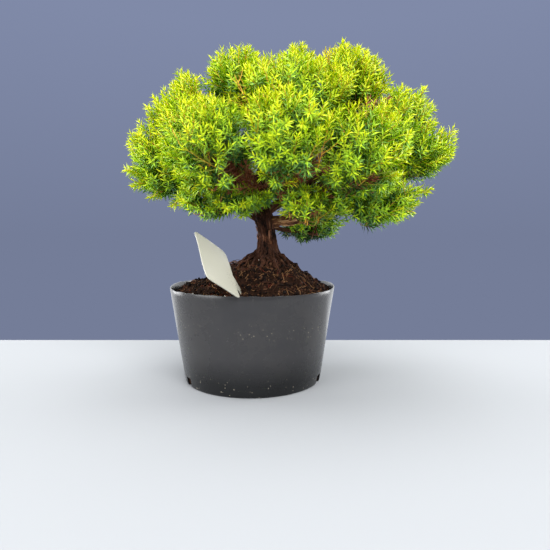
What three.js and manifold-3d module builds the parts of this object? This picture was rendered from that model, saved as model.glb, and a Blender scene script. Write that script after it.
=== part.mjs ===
// A dwarf conifer trained as a small tree, in the cut-down black nursery pot that it grows in.
// Millimetres, +Z up. The origin is the centre of the pot's flat underside, and the plant's front faces -Y.
// The pot holds a mound of compost. A short trunk with a flared root base stands on it, forks low down, and
// carries a broad, domed crown that leans out to +X. A blank T-shaped plant label is pushed into the
// compost at the front.
import * as THREE from "three";
import { mergeVertices } from "three/addons/utils/BufferGeometryUtils.js";
import Module from "manifold-3d";

const wasm = await Module();
wasm.setup();

// ---- Driving dimensions -----------------------------------------------------------------------------
const GAP = 0.35; // clearance kept between neighbouring solids

const POT = {
  height: 100.4, // mean height of the rim
  base: 73.5, // radius of the round foot
  rimX: 87.3, // half widths of the rim, which is squeezed from front to back
  rimY: 79.5,
  squareness: 0.5, // how far the rim bulges from an ellipse towards a rounded square
  wall: 1.3,
  floor: 1.6,
  footBevel: 2,
  rimWave: 1.8, // the cut rim rises at the two sides and dips at the front and back
  sides: 32,
};
const NOTCH = { width: 11, height: 9.5, depth: 9, angles: [-150, -21, 90] }; // drainage notches in the foot

const SOIL = {
  edge: 93.5, // height of the compost at the wall
  ground: 129, // height of the flat spot that the trunk stands on
  footX: 15, // where that spot is
  footRadius: 20,
  hump: 1.6, // unevenness of the slope
};

const TRUNK = {
  route: [
    [15, 0, 118], [15, 0, 136], [15, 0, 152], [13, -1, 172], // the trunk, up to its fork
    [7, 4, 200], [15, 8, 235], [32, 6, 268], [38, 4, 300], // the leader
  ],
  neck: 9.6, // radius between the roots and the fork
  tip: 2.4,
  flare: 6.4, // how far the roots spread past the neck at ground level
  flareRise: 8, // height over which the flare dies away
  fork: 46, // height of the fork above the ground
  swell: 1.9, // thickening at the fork
  sides: 12,
  steps: 16,
};

// Each bough leaves the trunk at a height, heads along an azimuth (0 is +X, -90 the front) and rises by the
// end of its reach. lift bends it upwards late (above 1) or early (below 1), and swing bows it to its left.
const BOUGHS = {
  bough_right: { height: 170, azimuth: -8, reach: 132, rise: 44, lift: 1.9, swing: 5, radius: 6.4 },
  bough_left: { height: 176, azimuth: 173, reach: 102, rise: 40, lift: 0.8, swing: 4, radius: 5.4 },
  bough_left_front: { height: 182, azimuth: -128, reach: 84, rise: 56, lift: 1.2, swing: 11, radius: 4.2 },
  bough_front: { height: 184, azimuth: -76, reach: 92, rise: 52, lift: 0.9, swing: -6, radius: 4.2 },
  bough_front_right: { height: 178, azimuth: -38, reach: 112, rise: 56, lift: 0.9, swing: 6, radius: 4.8 },
  bough_right_upper: { height: 216, azimuth: -6, reach: 140, rise: 66, lift: 0.8, swing: -9, radius: 4.8 },
  bough_left_upper: { height: 210, azimuth: 178, reach: 78, rise: 62, lift: 0.9, swing: -5, radius: 4.2 },
  bough_top_left: { height: 250, azimuth: 170, reach: 46, rise: 66, lift: 1.3, swing: 4, radius: 3.4 },
  bough_top_right: { height: 262, azimuth: 4, reach: 74, rise: 54, lift: 1.1, swing: 6, radius: 3.6 },
  bough_back_left: { height: 188, azimuth: 122, reach: 104, rise: 50, lift: 0.9, swing: 8, radius: 4.8 },
  bough_back: { height: 198, azimuth: 78, reach: 98, rise: 44, lift: 0.9, swing: -6, radius: 4.4 },
  bough_back_right: { height: 180, azimuth: 36, reach: 132, rise: 54, lift: 0.9, swing: -8, radius: 5 },
  bough_low: { height: 168, azimuth: 31, reach: 72, rise: -12, lift: 0.7, swing: 4, radius: 3.2 },
  bough_stub: { height: 168, azimuth: 196, reach: 21, rise: 10, lift: 1, swing: 0, radius: 3.8 },
};
const LIMB = { sides: 6, steps: 5, taper: 0.42 }; // taper is the share of the radius left at the end

// Each mass of foliage: its centre, its half sizes and the finish of its leaves.
const MASSES = {
  mass_low_left: { at: [-92, -6, 236], size: [47, 46, 48], tone: "shade" },
  mass_upper_left: { at: [-66, -8, 272], size: [47, 52, 60], tone: "lime" },
  mass_top_left: { at: [-17, 0, 316], size: [43, 52, 45], tone: "lime" },
  mass_top: { at: [44, 8, 320], size: [44, 52, 43], tone: "lime" },
  mass_top_right: { at: [100, 2, 316], size: [48, 54, 47], tone: "lime" },
  mass_upper_right: { at: [147, -6, 270], size: [48, 54, 48], tone: "lime" },
  mass_far_right: { at: [174, -2, 247], size: [47, 48, 38], tone: "green" },
  mass_low_right: { at: [130, -20, 194], size: [57, 46, 34], tone: "shade" },
  mass_front_left: { at: [-36, -70, 242], size: [56, 52, 54], tone: "green" },
  mass_low_front: { at: [-33, -36, 195], size: [56, 42, 24], tone: "shade" },
  mass_front: { at: [34, -86, 246], size: [56, 52, 52], tone: "green" },
  mass_front_right: { at: [102, -72, 236], size: [56, 54, 53], tone: "green" },
  mass_low_middle: { at: [66, -34, 187], size: [50, 38, 27], tone: "shade" },
  mass_front_top: { at: [38, -48, 295], size: [70, 48, 42], tone: "lime" },
  mass_back_left: { at: [-50, 74, 246], size: [58, 58, 54], tone: "green" },
  mass_back: { at: [38, 98, 246], size: [56, 52, 52], tone: "green" },
  mass_back_right: { at: [122, 74, 242], size: [58, 58, 52], tone: "green" },
  mass_back_top: { at: [44, 56, 298], size: [72, 50, 42], tone: "lime" },
  mass_low_back: { at: [66, 38, 165], size: [42, 36, 20], tone: "shade" },
};
const TUFT = { count: 15, spread: 0.38, depth: 0.25, detail: 4 }; // shoots that stand out from each mass

const LABEL = {
  corner: [-53.4, -58.6, 160.6], // the top corner of the flag
  across: [0.601, 0.618, -0.507], // direction of its short side, which the stem carries on
  along: [0.288, -0.759, -0.584], // direction of its long side
  width: 44,
  length: 70,
  thickness: 1,
  round: 5,
  stemAt: 44, // how far along the long side the stem leaves the flag
  stemWidth: 9,
  stemLength: 36,
};

const finish = (color, roughness) => new THREE.MeshStandardMaterial({ color, roughness, metalness: 0 });
const FINISHES = {
  pot: finish(0x2b2d31, 0.42),
  soil: finish(0x33241c, 0.95),
  bark: finish(0x4a2f22, 0.9),
  bough: finish(0x6e4a33, 0.85),
  label: finish(0xdedccf, 0.45),
  lime: finish(0xa6bf1c, 0.7),
  green: finish(0x5f8a24, 0.7),
  shade: finish(0x3a6124, 0.75),
};

// ---- Working with solids ----------------------------------------------------------------------------

/** A closed three.js geometry as a solid. */
function solid(geometry) {
  const bare = geometry.clone();
  bare.deleteAttribute("normal");
  bare.deleteAttribute("uv");
  const merged = mergeVertices(bare, 1e-3);
  const mesh = new wasm.Mesh({
    numProp: 3,
    vertProperties: new Float32Array(merged.attributes.position.array),
    triVerts: new Uint32Array(merged.index.array),
  });
  return new wasm.Manifold(mesh);
}

/** A solid as a three.js geometry. */
function geometryOf(body) {
  const mesh = body.getMesh();
  const geometry = new THREE.BufferGeometry();
  geometry.setAttribute("position", new THREE.BufferAttribute(mesh.vertProperties, mesh.numProp));
  geometry.setIndex(new THREE.BufferAttribute(mesh.triVerts, 1));
  geometry.computeVertexNormals();
  return geometry;
}

/** The largest of the pieces that cutting has left of a solid. */
function largest(body) {
  return body.decompose().reduce((best, piece) => (piece.volume() > best.volume() ? piece : best));
}

/** Moves each vertex of a geometry to where place(vertex) puts it. */
function reshape(geometry, place) {
  const positions = geometry.attributes.position;
  const vertex = new THREE.Vector3();
  for (let i = 0; i < positions.count; i++) {
    place(vertex.fromBufferAttribute(positions, i));
    positions.setXYZ(i, vertex.x, vertex.y, vertex.z);
  }
  return geometry;
}

const { lerp, clamp, degToRad } = THREE.MathUtils;
const plant = new THREE.Group();

/** Adds a solid to the plant as a named mesh. */
function add(name, body, material) {
  const mesh = new THREE.Mesh(geometryOf(body), material);
  mesh.name = name;
  plant.add(mesh);
}

// ---- Pot and compost --------------------------------------------------------------------------------

/** Radius of the wall, moved in by inset: a circle at the foot, an oval at the rim. */
function wallRadius(angle, z, inset) {
  const rise = clamp(z / POT.height, 0, 1);
  const power = 2 + POT.squareness * rise;
  const x = Math.abs(Math.cos(angle)) / (lerp(POT.base, POT.rimX, rise) - inset);
  const y = Math.abs(Math.sin(angle)) / (lerp(POT.base, POT.rimY, rise) - inset);
  return (x ** power + y ** power) ** (-1 / power);
}

/** Lift of the wavy rim in a direction, fading out towards the foot. */
function rimLift(angle, z) {
  const wave = Math.cos(2 * angle) + 0.25 * Math.sin(3 * angle);
  return POT.rimWave * clamp(z / POT.height, 0, 1) ** 4 * wave;
}

/** Turns a profile of [share of the wall's radius, height] points about Z and fits it to the pot. */
function potShape(profile, inset) {
  const points = profile.map(([share, z]) => new THREE.Vector2(share, z));
  const geometry = new THREE.LatheGeometry(points, POT.sides).rotateX(Math.PI / 2);
  return solid(
    reshape(geometry, (v) => {
      const angle = Math.atan2(v.y, v.x);
      const radius = Math.hypot(v.x, v.y) * wallRadius(angle, v.z, inset);
      v.set(radius * Math.cos(angle), radius * Math.sin(angle), v.z + rimLift(angle, v.z));
    }),
  );
}

/** The pot's wall as profile points from one height to another. */
function wallRows(low, high) {
  const rows = 3;
  return Array.from({ length: rows + 1 }, (_, i) => [1, lerp(low, high, i / rows)]);
}

/** Thin-walled pot with a flat floor and three drainage notches cut through its foot. */
function potSolid() {
  const footShare = 1 - POT.footBevel / POT.base;
  const above = POT.height + 8;
  const wall = wallRows(POT.footBevel, POT.height);
  const outside = potShape([[0, 0], [footShare, 0], ...wall, [0, POT.height]], 0);
  const innerWall = wallRows(POT.floor + POT.footBevel, POT.height);
  const inside = [[0, POT.floor], [footShare, POT.floor], ...innerWall];
  let pot = outside.subtract(potShape([...inside, [1, above], [0, above]], POT.wall));
  for (const angle of NOTCH.angles) {
    const box = new THREE.BoxGeometry(2 * NOTCH.depth, NOTCH.width, 2 * NOTCH.height);
    box.translate(POT.base, 0, 0).rotateZ(degToRad(angle));
    pot = pot.subtract(solid(box));
  }
  return pot;
}

/** Compost that fills the pot and rises in a mound to a flat spot under the trunk. */
function soilSolid() {
  const inset = POT.wall + 1.5 * GAP;
  const floor = POT.floor + GAP;
  const footShare = 1 - POT.footBevel / POT.base;
  const slope = [1, 0.86, 0.7, 0.54, 0.38, 0.2, 0].map((share) => [share, SOIL.edge]);
  const side = wallRows(floor + POT.footBevel, SOIL.edge - 3);
  const profile = [[0, floor], [footShare, floor], ...side, ...slope];
  const points = profile.map(([share, z]) => new THREE.Vector2(share, z));
  const geometry = new THREE.LatheGeometry(points, POT.sides).rotateX(Math.PI / 2);
  const brink = 0.2; // share at which the flat spot ends and the slope begins
  return solid(
    reshape(geometry, (v) => {
      const angle = Math.atan2(v.y, v.x);
      const share = Math.hypot(v.x, v.y);
      const wall = wallRadius(angle, v.z, inset);
      if (v.z < SOIL.edge) {
        v.set(share * wall * Math.cos(angle), share * wall * Math.sin(angle), v.z + rimLift(angle, v.z));
        return;
      }
      const out = clamp((share - brink) / (1 - brink), 0, 1);
      const radius = lerp(Math.min(share / brink, 1) * SOIL.footRadius, wall, out);
      const bumps = Math.sin(4 * angle + 9 * out) + Math.cos(7 * angle - 5 * out);
      const heap = (SOIL.ground - SOIL.edge) * (1 - out) ** 1.08;
      const unevenness = SOIL.hump * bumps * Math.sin(Math.PI * out);
      const height = SOIL.edge + heap + unevenness + rimLift(angle, SOIL.edge) * out;
      v.set(radius * Math.cos(angle) + SOIL.footX * (1 - out), radius * Math.sin(angle), height);
    }),
  );
}

// ---- Trunk and boughs -------------------------------------------------------------------------------

/**
 * A closed, round limb along a curve, fattened by inflate, its ends included. radiusAt gives its radius
 * from the distance along it and the angle round it.
 */
function limbSolid(curve, radiusAt, inflate, { sides, steps }) {
  const length = curve.getLength();
  const frames = curve.computeFrenetFrames(steps);
  const geometry = new THREE.CylinderGeometry(1, 1, steps, sides, steps).translate(0, steps / 2, 0);
  return solid(
    reshape(geometry, (v) => {
      const step = Math.round(v.y);
      const across = frames.normals[step].clone().multiplyScalar(v.x);
      across.addScaledVector(frames.binormals[step], -v.z);
      const radius = radiusAt((length * step) / steps, Math.atan2(v.z, v.x)) + inflate;
      const overrun = step === 0 ? -inflate : step === steps ? inflate : 0;
      v.copy(curve.getPointAt(step / steps)).addScaledVector(across, radius);
      v.addScaledVector(frames.tangents[step], overrun);
    }),
  );
}

const trunkCurve = new THREE.CatmullRomCurve3(TRUNK.route.map((point) => new THREE.Vector3(...point)));

/** The whole trunk from below ground to the tip of its leader, fattened by inflate. */
function trunkShape(inflate) {
  const sunk = SOIL.ground - TRUNK.route[0][2];
  const leader = trunkCurve.getLength() - sunk - TRUNK.fork;
  const radiusAt = (distance, angle) => {
    const height = distance - sunk;
    const taper = lerp(TRUNK.neck, TRUNK.tip, clamp((height - TRUNK.fork) / leader, 0, 1));
    const swell = TRUNK.swell * Math.exp(-(((height - TRUNK.fork) / 11) ** 2));
    const roots = 1 + 0.45 * Math.cos(5 * angle + 0.6) + 0.3 * Math.sin(3 * angle);
    return taper + swell + TRUNK.flare * roots * Math.exp(-Math.max(height, 0) / TRUNK.flareRise);
  };
  return limbSolid(trunkCurve, radiusAt, inflate, TRUNK);
}

/** A block that takes away everything below ground level. */
function belowGround() {
  const size = 400;
  return solid(new THREE.BoxGeometry(size, size, size).translate(0, 0, SOIL.ground + GAP - size / 2));
}

/** The point of the trunk's centre line at a height. */
function trunkAt(height) {
  const points = trunkCurve.getSpacedPoints(200);
  return points.reduce((best, p) => (Math.abs(p.z - height) < Math.abs(best.z - height) ? p : best));
}

/** One tapering bough, fattened by inflate. */
function boughShape({ height, azimuth, reach, rise, lift, swing, radius }, inflate) {
  const start = trunkAt(height);
  const heading = new THREE.Vector3(Math.cos(degToRad(azimuth)), Math.sin(degToRad(azimuth)), 0);
  const left = new THREE.Vector3(-heading.y, heading.x, 0);
  const points = Array.from({ length: LIMB.steps + 1 }, (_, i) => {
    const t = i / LIMB.steps;
    const point = start.clone().addScaledVector(heading, reach * t);
    point.addScaledVector(left, swing * Math.sin(Math.PI * 1.3 * t));
    return point.setZ(start.z + rise * t ** lift);
  });
  const curve = new THREE.CatmullRomCurve3(points);
  const length = curve.getLength();
  return limbSolid(curve, (distance) => radius * lerp(1, LIMB.taper, distance / length), inflate, LIMB);
}

// ---- Foliage ----------------------------------------------------------------------------------------

/** Repeatable random numbers from 0 to 1. */
function randomFrom(seed) {
  let state = seed;
  return () => {
    state = (state * 1664525 + 1013904223) % 4294967296;
    return state / 4294967296;
  };
}

/** An uneven, rounded mass with tufts standing out all over it. */
function massShape({ at, size }, seed) {
  const random = randomFrom(seed);
  const tufts = Array.from({ length: TUFT.count }, (_, i) => {
    const z = 1 - (2 * (i + 0.2 + 0.6 * random())) / TUFT.count;
    const turn = i * Math.PI * (3 - Math.sqrt(5)) + random() * 0.5;
    const flat = Math.sqrt(1 - z * z);
    const towards = new THREE.Vector3(flat * Math.cos(turn), flat * Math.sin(turn), z);
    return { towards, length: 0.6 + 0.4 * random() };
  });
  const geometry = new THREE.OctahedronGeometry(1, TUFT.detail);
  return solid(
    reshape(geometry, (v) => {
      const closeness = (tuft) => Math.exp(-((v.angleTo(tuft.towards) / TUFT.spread) ** 2));
      const bulges = tufts.map((tuft) => tuft.length * closeness(tuft));
      const share = 1 - TUFT.depth * (1 - Math.min(Math.max(...bulges) * 1.1, 1));
      v.multiplyScalar(share).multiply(new THREE.Vector3(...size)).add(new THREE.Vector3(...at));
    }),
  );
}

/** The block that takes a mass away where it would pass the flat face between itself and its neighbour. */
function faceBetween(mass, neighbour) {
  const centre = new THREE.Vector3(...mass.at);
  const towards = new THREE.Vector3(...neighbour.at).sub(centre);
  const distance = towards.length();
  towards.normalize();
  const shareOf = (size) => Math.hypot(towards.x / size[0], towards.y / size[1], towards.z / size[2]);
  const reachOf = ({ size }) => 1 / shareOf(size);
  const reaches = [reachOf(mass), reachOf(neighbour)];
  const face = (distance * reaches[0]) / (reaches[0] + reaches[1]) - GAP / 2;
  const size = 400;
  const block = new THREE.BoxGeometry(size, size, size).translate(0, 0, face + size / 2);
  const turn = new THREE.Quaternion().setFromUnitVectors(new THREE.Vector3(0, 0, 1), towards);
  return solid(block.applyQuaternion(turn).translate(...centre));
}

// ---- Label ------------------------------------------------------------------------------------------

/** Stands a geometry drawn in the label's own plane (x across, y along) in its place in the pot. */
function inLabelPlane(geometry) {
  const across = new THREE.Vector3(...LABEL.across).normalize();
  const along = new THREE.Vector3(...LABEL.along);
  const normal = across.clone().cross(along).normalize();
  const frame = new THREE.Matrix4().makeBasis(across, normal.clone().cross(across), normal);
  return geometry.applyMatrix4(frame.setPosition(...LABEL.corner));
}

/** T-shaped plastic plant label: a flag with rounded corners on a pointed stem. */
function labelSolid() {
  const { width, length, round, stemAt, stemWidth, stemLength } = LABEL;
  const low = stemAt - stemWidth / 2;
  const high = stemAt + stemWidth / 2;
  const tip = width + stemLength;
  const shape = new THREE.Shape();
  shape.moveTo(round, 0);
  shape.lineTo(width - round, 0);
  shape.absarc(width - round, round, round, -Math.PI / 2, 0);
  shape.lineTo(width, low - round);
  shape.absarc(width + round, low - round, round, Math.PI, Math.PI / 2, true);
  shape.lineTo(tip - stemWidth, low);
  shape.lineTo(tip, stemAt);
  shape.lineTo(tip - stemWidth, high);
  shape.lineTo(width + round, high);
  shape.absarc(width + round, high + round, round, -Math.PI / 2, Math.PI, true);
  shape.lineTo(width, length - round);
  shape.absarc(width - round, length - round, round, 0, Math.PI / 2);
  shape.lineTo(round, length);
  shape.absarc(round, length - round, round, Math.PI / 2, Math.PI);
  shape.lineTo(0, round);
  shape.absarc(round, round, round, Math.PI, Math.PI * 1.5);
  const sheet = { depth: LABEL.thickness, bevelEnabled: false, curveSegments: 4 };
  return solid(inLabelPlane(new THREE.ExtrudeGeometry(shape, sheet)));
}

/** The slot that the label's stem needs in the compost. */
function labelSlot() {
  const { width, stemAt, stemWidth, stemLength, thickness } = LABEL;
  const box = new THREE.BoxGeometry(stemLength + GAP, stemWidth + 2 * GAP, thickness + 2 * GAP);
  box.translate(width + (stemLength + GAP) / 2, stemAt, thickness / 2);
  return solid(inLabelPlane(box));
}

// ---- Assembly ---------------------------------------------------------------------------------------

add("pot", potSolid(), FINISHES.pot);
add("soil", largest(soilSolid().subtract(labelSlot())), FINISHES.soil);
add("label", labelSolid(), FINISHES.label);
add("trunk", trunkShape(0).subtract(belowGround()), FINISHES.bark);

// Each piece is cut back from what already stands, so that neighbours keep their clearance.
let standing = trunkShape(GAP);
for (const [name, bough] of Object.entries(BOUGHS)) {
  add(name, largest(boughShape(bough, 0).subtract(standing)), FINISHES.bough);
  standing = standing.add(boughShape(bough, GAP));
}
for (const [index, [name, mass]] of Object.entries(MASSES).entries()) {
  let body = massShape(mass, 7 + 31 * index).subtract(standing);
  for (const neighbour of Object.values(MASSES)) {
    if (neighbour !== mass) body = body.subtract(faceBetween(mass, neighbour));
  }
  add(name, largest(body), FINISHES[mass.tone]);
}

export default plant;
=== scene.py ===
"""A dwarf conifer, trained as a small tree, in the black nursery pot that it grows in.

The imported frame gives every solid's place. This script dresses it: a thin plastic pot, crumbly compost, a
flared trunk and peeling boughs, and in place of each foliage mass the twigs and needles that grow out of its
bough. All lengths are metres. The front of the plant faces -Y.
"""

import logging
import math
from collections.abc import Callable
from dataclasses import dataclass, field
from enum import Enum

import bpy
import numpy as np
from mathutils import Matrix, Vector
from mathutils.bvhtree import BVHTree


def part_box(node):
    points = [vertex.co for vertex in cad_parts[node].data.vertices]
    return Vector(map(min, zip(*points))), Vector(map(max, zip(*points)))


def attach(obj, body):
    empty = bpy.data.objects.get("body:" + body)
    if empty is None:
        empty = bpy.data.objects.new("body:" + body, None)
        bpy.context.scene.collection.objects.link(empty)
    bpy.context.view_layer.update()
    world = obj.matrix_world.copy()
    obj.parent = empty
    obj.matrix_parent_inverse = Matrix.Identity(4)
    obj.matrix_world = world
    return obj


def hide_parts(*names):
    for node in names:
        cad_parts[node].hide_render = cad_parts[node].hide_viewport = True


MM = 0.001
UP = np.array([0.0, 0.0, 1.0])
GOLDEN_ANGLE = math.radians(137.5)
Array = np.ndarray
Random = np.random.Generator
Range = tuple[float, float]
Colour = tuple[float, float, float]
Place = tuple[float, float, float]
Shape = tuple[Array, Array, Array]
Rows = tuple[tuple[str, Place, Place], ...]
Node = bpy.types.Node
Socket = bpy.types.NodeSocket
Material = bpy.types.Material
Piece = bpy.types.Object
log = logging.getLogger("conifer")
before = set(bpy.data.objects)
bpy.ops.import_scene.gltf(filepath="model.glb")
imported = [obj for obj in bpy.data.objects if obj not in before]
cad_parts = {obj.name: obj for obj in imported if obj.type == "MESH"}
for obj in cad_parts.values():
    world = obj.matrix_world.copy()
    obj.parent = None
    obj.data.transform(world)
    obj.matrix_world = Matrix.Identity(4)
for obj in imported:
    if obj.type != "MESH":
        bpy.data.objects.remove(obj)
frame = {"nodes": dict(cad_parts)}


# ---- Small helpers -------------------------------------------------------------------------------


def srgb(red: int, green: int, blue: int) -> Colour:
    """Turns an 8-bit screen colour into linear light.

    Args:
        red: Red, 0 to 255.
        green: Green, 0 to 255.
        blue: Blue, 0 to 255.

    Returns:
        The colour as three linear numbers.
    """
    shares = [value / 255 for value in (red, green, blue)]
    return tuple(s / 12.92 if s <= 0.04045 else ((s + 0.055) / 1.055) ** 2.4 for s in shares)


def unit(vectors: Array) -> Array:
    """Scales vectors to length one."""
    return vectors / np.maximum(np.linalg.norm(vectors, axis=-1, keepdims=True), 1e-12)


def compass(degrees: float) -> Array:
    """The level direction at an azimuth, where 0 is +X and -90 the front."""
    return np.array([math.cos(math.radians(degrees)), math.sin(math.radians(degrees)), 0.0])


def turns(sides: int) -> Array:
    """The angle of each corner that goes round a limb."""
    return np.arange(sides) * 2 * math.pi / sides


def distance_along(path: Array) -> Array:
    """How far along a path each of its points is."""
    return np.concatenate([[0], np.cumsum(np.linalg.norm(np.diff(path, axis=0), axis=1))])


def smooth_path(points: Array, count: int) -> Array:
    """Runs an even, smooth curve through points.

    Args:
        points: The points to pass through, one row each.
        count: How many points to return.

    Returns:
        Points spaced evenly along the curve.
    """
    ends = np.vstack([2 * points[0] - points[1], points, 2 * points[-1] - points[-2]])
    share = np.linspace(0, 1, 24, endpoint=False)[:, None]
    parts = []
    for a, b, c, d in zip(ends, ends[1:], ends[2:], ends[3:]):
        bend = (2 * a - 5 * b + 4 * c - d) * share**2 + (3 * b - a - 3 * c + d) * share**3
        parts.append(b + 0.5 * ((c - a) * share + bend))
    dense = np.vstack([*parts, points[-1:]])
    along = distance_along(dense)
    wanted = np.linspace(0, along[-1], count)
    return np.stack([np.interp(wanted, along, dense[:, axis]) for axis in range(3)], axis=1)


def ripples(places: Array, waves: Array, seed: int, count: int = 9) -> Array:
    """Smooth random unevenness, as a sum of waves.

    Args:
        places: Where to read it, one row each.
        waves: The typical number of radians per unit along each column of places.
        seed: Picks the pattern.
        count: How many waves are summed.

    Returns:
        A value of about -1 to 1 for each place.
    """
    random = np.random.default_rng(seed)
    ways = random.normal(size=(places.shape[1], count)) * np.asarray(waves)[:, None]
    return np.sin(places @ ways + random.uniform(0, 2 * math.pi, count)).sum(1) / math.sqrt(count)


def deselect_all() -> None:
    """Deselects everything, so that an operator acts on the new piece only."""
    bpy.ops.object.select_all(action="DESELECT")


def pick(piece: Piece) -> None:
    """Makes one piece the only one selected, and the active one.

    Args:
        piece: The piece to work on next.
    """
    deselect_all()
    piece.select_set(True)
    bpy.context.view_layer.objects.active = piece


def newest(name: str) -> Piece:
    """Names the piece that an operator has just added.

    Args:
        name: Its new name.

    Returns:
        The piece.
    """
    piece = bpy.context.object
    piece.name = piece.data.name = name
    return piece


def joined(name: str, points: Array, triangles: Array, tones: Array | None = None, uvs: Array | None = None,
           smooth: bool = False) -> Piece:
    """Makes one mesh piece from arrays of triangles.

    Args:
        name: The piece's name.
        points: Corner places, one row each.
        triangles: Three corner numbers in each row.
        tones: The material slot of each triangle, or None for the first.
        uvs: A place on the pattern for each corner of points, or None.
        smooth: Whether the surface is shaded smooth.

    Returns:
        The new object.
    """
    mesh = bpy.data.meshes.new(name)
    count = len(triangles)
    flat = np.ascontiguousarray(triangles, dtype=np.int32).ravel()
    mesh.vertices.add(len(points))
    mesh.vertices.foreach_set("co", np.ascontiguousarray(points, dtype=np.float32).ravel())
    mesh.loops.add(3 * count)
    mesh.loops.foreach_set("vertex_index", flat)
    mesh.polygons.add(count)
    mesh.polygons.foreach_set("loop_start", np.arange(0, 3 * count, 3, dtype=np.int32))
    if tones is not None:
        mesh.polygons.foreach_set("material_index", np.ascontiguousarray(tones, dtype=np.int32))
    if uvs is not None:
        layer = mesh.uv_layers.new(name="UVMap")
        layer.data.foreach_set("uv", np.ascontiguousarray(uvs[flat], dtype=np.float32).ravel())
    mesh.polygons.foreach_set("use_smooth", np.full(count, smooth))
    mesh.update(calc_edges=True)
    piece = bpy.data.objects.new(name, mesh)
    bpy.context.scene.collection.objects.link(piece)
    return piece


def tube(path: Array, radii: Array, sides: int) -> Shape:
    """A closed round limb along a path.

    Args:
        path: Centre points, one row each.
        radii: The radius at each centre point, or at each side of each one as (points, sides).
        sides: How many corners go round.

    Returns:
        Corner places, triangles, and a pattern place for each corner (turn, metres along).
    """
    ahead = unit(np.gradient(path, axis=0))
    aside = np.cross(ahead[0], UP if abs(ahead[0][2]) < 0.9 else np.array([1.0, 0, 0]))
    across = [unit(aside)]
    for heading in ahead[1:]:
        across.append(unit(across[-1] - heading * (across[-1] @ heading)))
    across = np.array(across)
    third = np.cross(ahead, across)
    turn = turns(sides)
    reach = radii if radii.ndim == 2 else np.repeat(radii[:, None], sides, 1)
    ring = np.cos(turn)[None, :, None] * across[:, None] + np.sin(turn)[None, :, None] * third[:, None]
    corners = (path[:, None] + ring * reach[..., None]).reshape(-1, 3)
    edge, after = np.arange(sides), (np.arange(sides) + 1) % sides
    starts = np.arange(len(path) - 1)[:, None] * sides
    here, beside = (starts + edge).ravel(), (starts + after).ravel()
    first, top = len(corners), (len(path) - 1) * sides
    triangles = [
        np.stack([here, beside, beside + sides], 1),
        np.stack([here, beside + sides, here + sides], 1),
        np.stack([np.full(sides, first), after, edge], 1),
        np.stack([np.full(sides, first + 1), edge + top, after + top], 1),
    ]
    along = distance_along(path)
    pattern = np.stack([np.tile(turn / (2 * math.pi), len(path)), np.repeat(along, sides)], 1)
    ends = np.array([[0.5, along[0]], [0.5, along[-1]]])
    return np.vstack([corners, path[:1], path[-1:]]), np.vstack(triangles), np.vstack([pattern, ends])


@dataclass
class Heap:
    """Many small shapes gathered into one joined mesh."""

    points: list[Array] = field(default_factory=list)
    triangles: list[Array] = field(default_factory=list)
    tones: list[Array] = field(default_factory=list)
    patterns: list[Array] = field(default_factory=list)
    size: int = 0

    def add(self, points: Array, triangles: Array, tone: int | Array, pattern: Array | None = None) -> None:
        """Adds one shape.

        Args:
            points: Its corners.
            triangles: Its triangles, counted from its own first corner.
            tone: Its material slot, or one for each triangle.
            pattern: A pattern place for each corner, or None.
        """
        self.points.append(points)
        self.triangles.append(triangles + self.size)
        self.tones.append(np.broadcast_to(tone, len(triangles)))
        self.patterns.append(np.zeros((len(points), 2)) if pattern is None else pattern)
        self.size += len(points)

    def build(self, name: str, smooth: bool = False) -> Piece:
        """Makes the heap one piece.

        Args:
            name: The piece's name.
            smooth: Whether it is shaded smooth.

        Returns:
            The new object.
        """
        stacks = (self.points, self.triangles, self.tones, self.patterns)
        points, triangles, tones, patterns = (np.concatenate(stack) for stack in stacks)
        return joined(name, points, triangles, tones, patterns, smooth)


# ---- Materials -----------------------------------------------------------------------------------


class Wiring:
    """Adds and links the nodes of one material or node group."""

    def __init__(self, tree: bpy.types.NodeTree) -> None:
        """Starts on a node tree."""
        self.tree = tree

    def feed(self, made: Node, feeds: dict) -> None:
        """Fills a node's inputs.

        Args:
            made: The node.
            feeds: What goes into them, by name or number: another node's output or a plain value.
        """
        for name, value in feeds.items():
            if isinstance(value, Socket):
                self.tree.links.new(value, made.inputs[name])
            else:
                made.inputs[name].default_value = value

    def node(self, kind: str, feeds: dict | None = None, **settings: object) -> Node:
        """Adds a node.

        Args:
            kind: The node's type, without its ShaderNode prefix.
            feeds: What goes into its inputs.
            settings: Its properties.

        Returns:
            The node.
        """
        made = self.tree.nodes.new(f"ShaderNode{kind}")
        for name, value in settings.items():
            setattr(made, name, value)
        self.feed(made, feeds or {})
        return made

    def effect(self, name: str, **feeds: object) -> Node:
        """Places a shared effect, mottle or specks."""
        return self.node("Group", feeds, node_tree=shared(name))

    def math(self, operation: str, *values: object) -> Socket:
        """Works a sum on values or outputs, and gives its result."""
        return self.node("Math", dict(enumerate(values)), operation=operation).outputs[0]

    def times(self, *values: object) -> Socket:
        """Multiplies two values or outputs."""
        return self.math("MULTIPLY", *values)

    def plus(self, *values: object) -> Socket:
        """Adds two values or outputs."""
        return self.math("ADD", *values)

    def blend(self, share: object, low: object, high: object) -> Socket:
        """Mixes two colours by a share, and gives the result."""
        feeds = {0: share, 6: self.paint(low), 7: self.paint(high)}
        return self.node("Mix", feeds, data_type="RGBA").outputs[2]

    def remap(self, value: Socket, low: object, high: object, start: float = 0, end: float = 1) -> Socket:
        """Stretches a value from one range to another, clamped."""
        feeds = {0: value, 1: low, 2: high, 3: start, 4: end}
        return self.node("MapRange", feeds).outputs[0]

    def relief(self, shader: Node, height: Socket, strength: float, depth: float) -> None:
        """Bumps a shader's surface by a height."""
        bump = self.node("Bump", {"Strength": strength, "Distance": depth, "Height": height})
        self.feed(shader, {"Normal": bump.outputs[0]})

    @staticmethod
    def paint(colour: object) -> object:
        """Gives a plain colour its fourth number, and leaves an output as it is."""
        return (*colour, 1.0) if isinstance(colour, tuple) else colour


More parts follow.
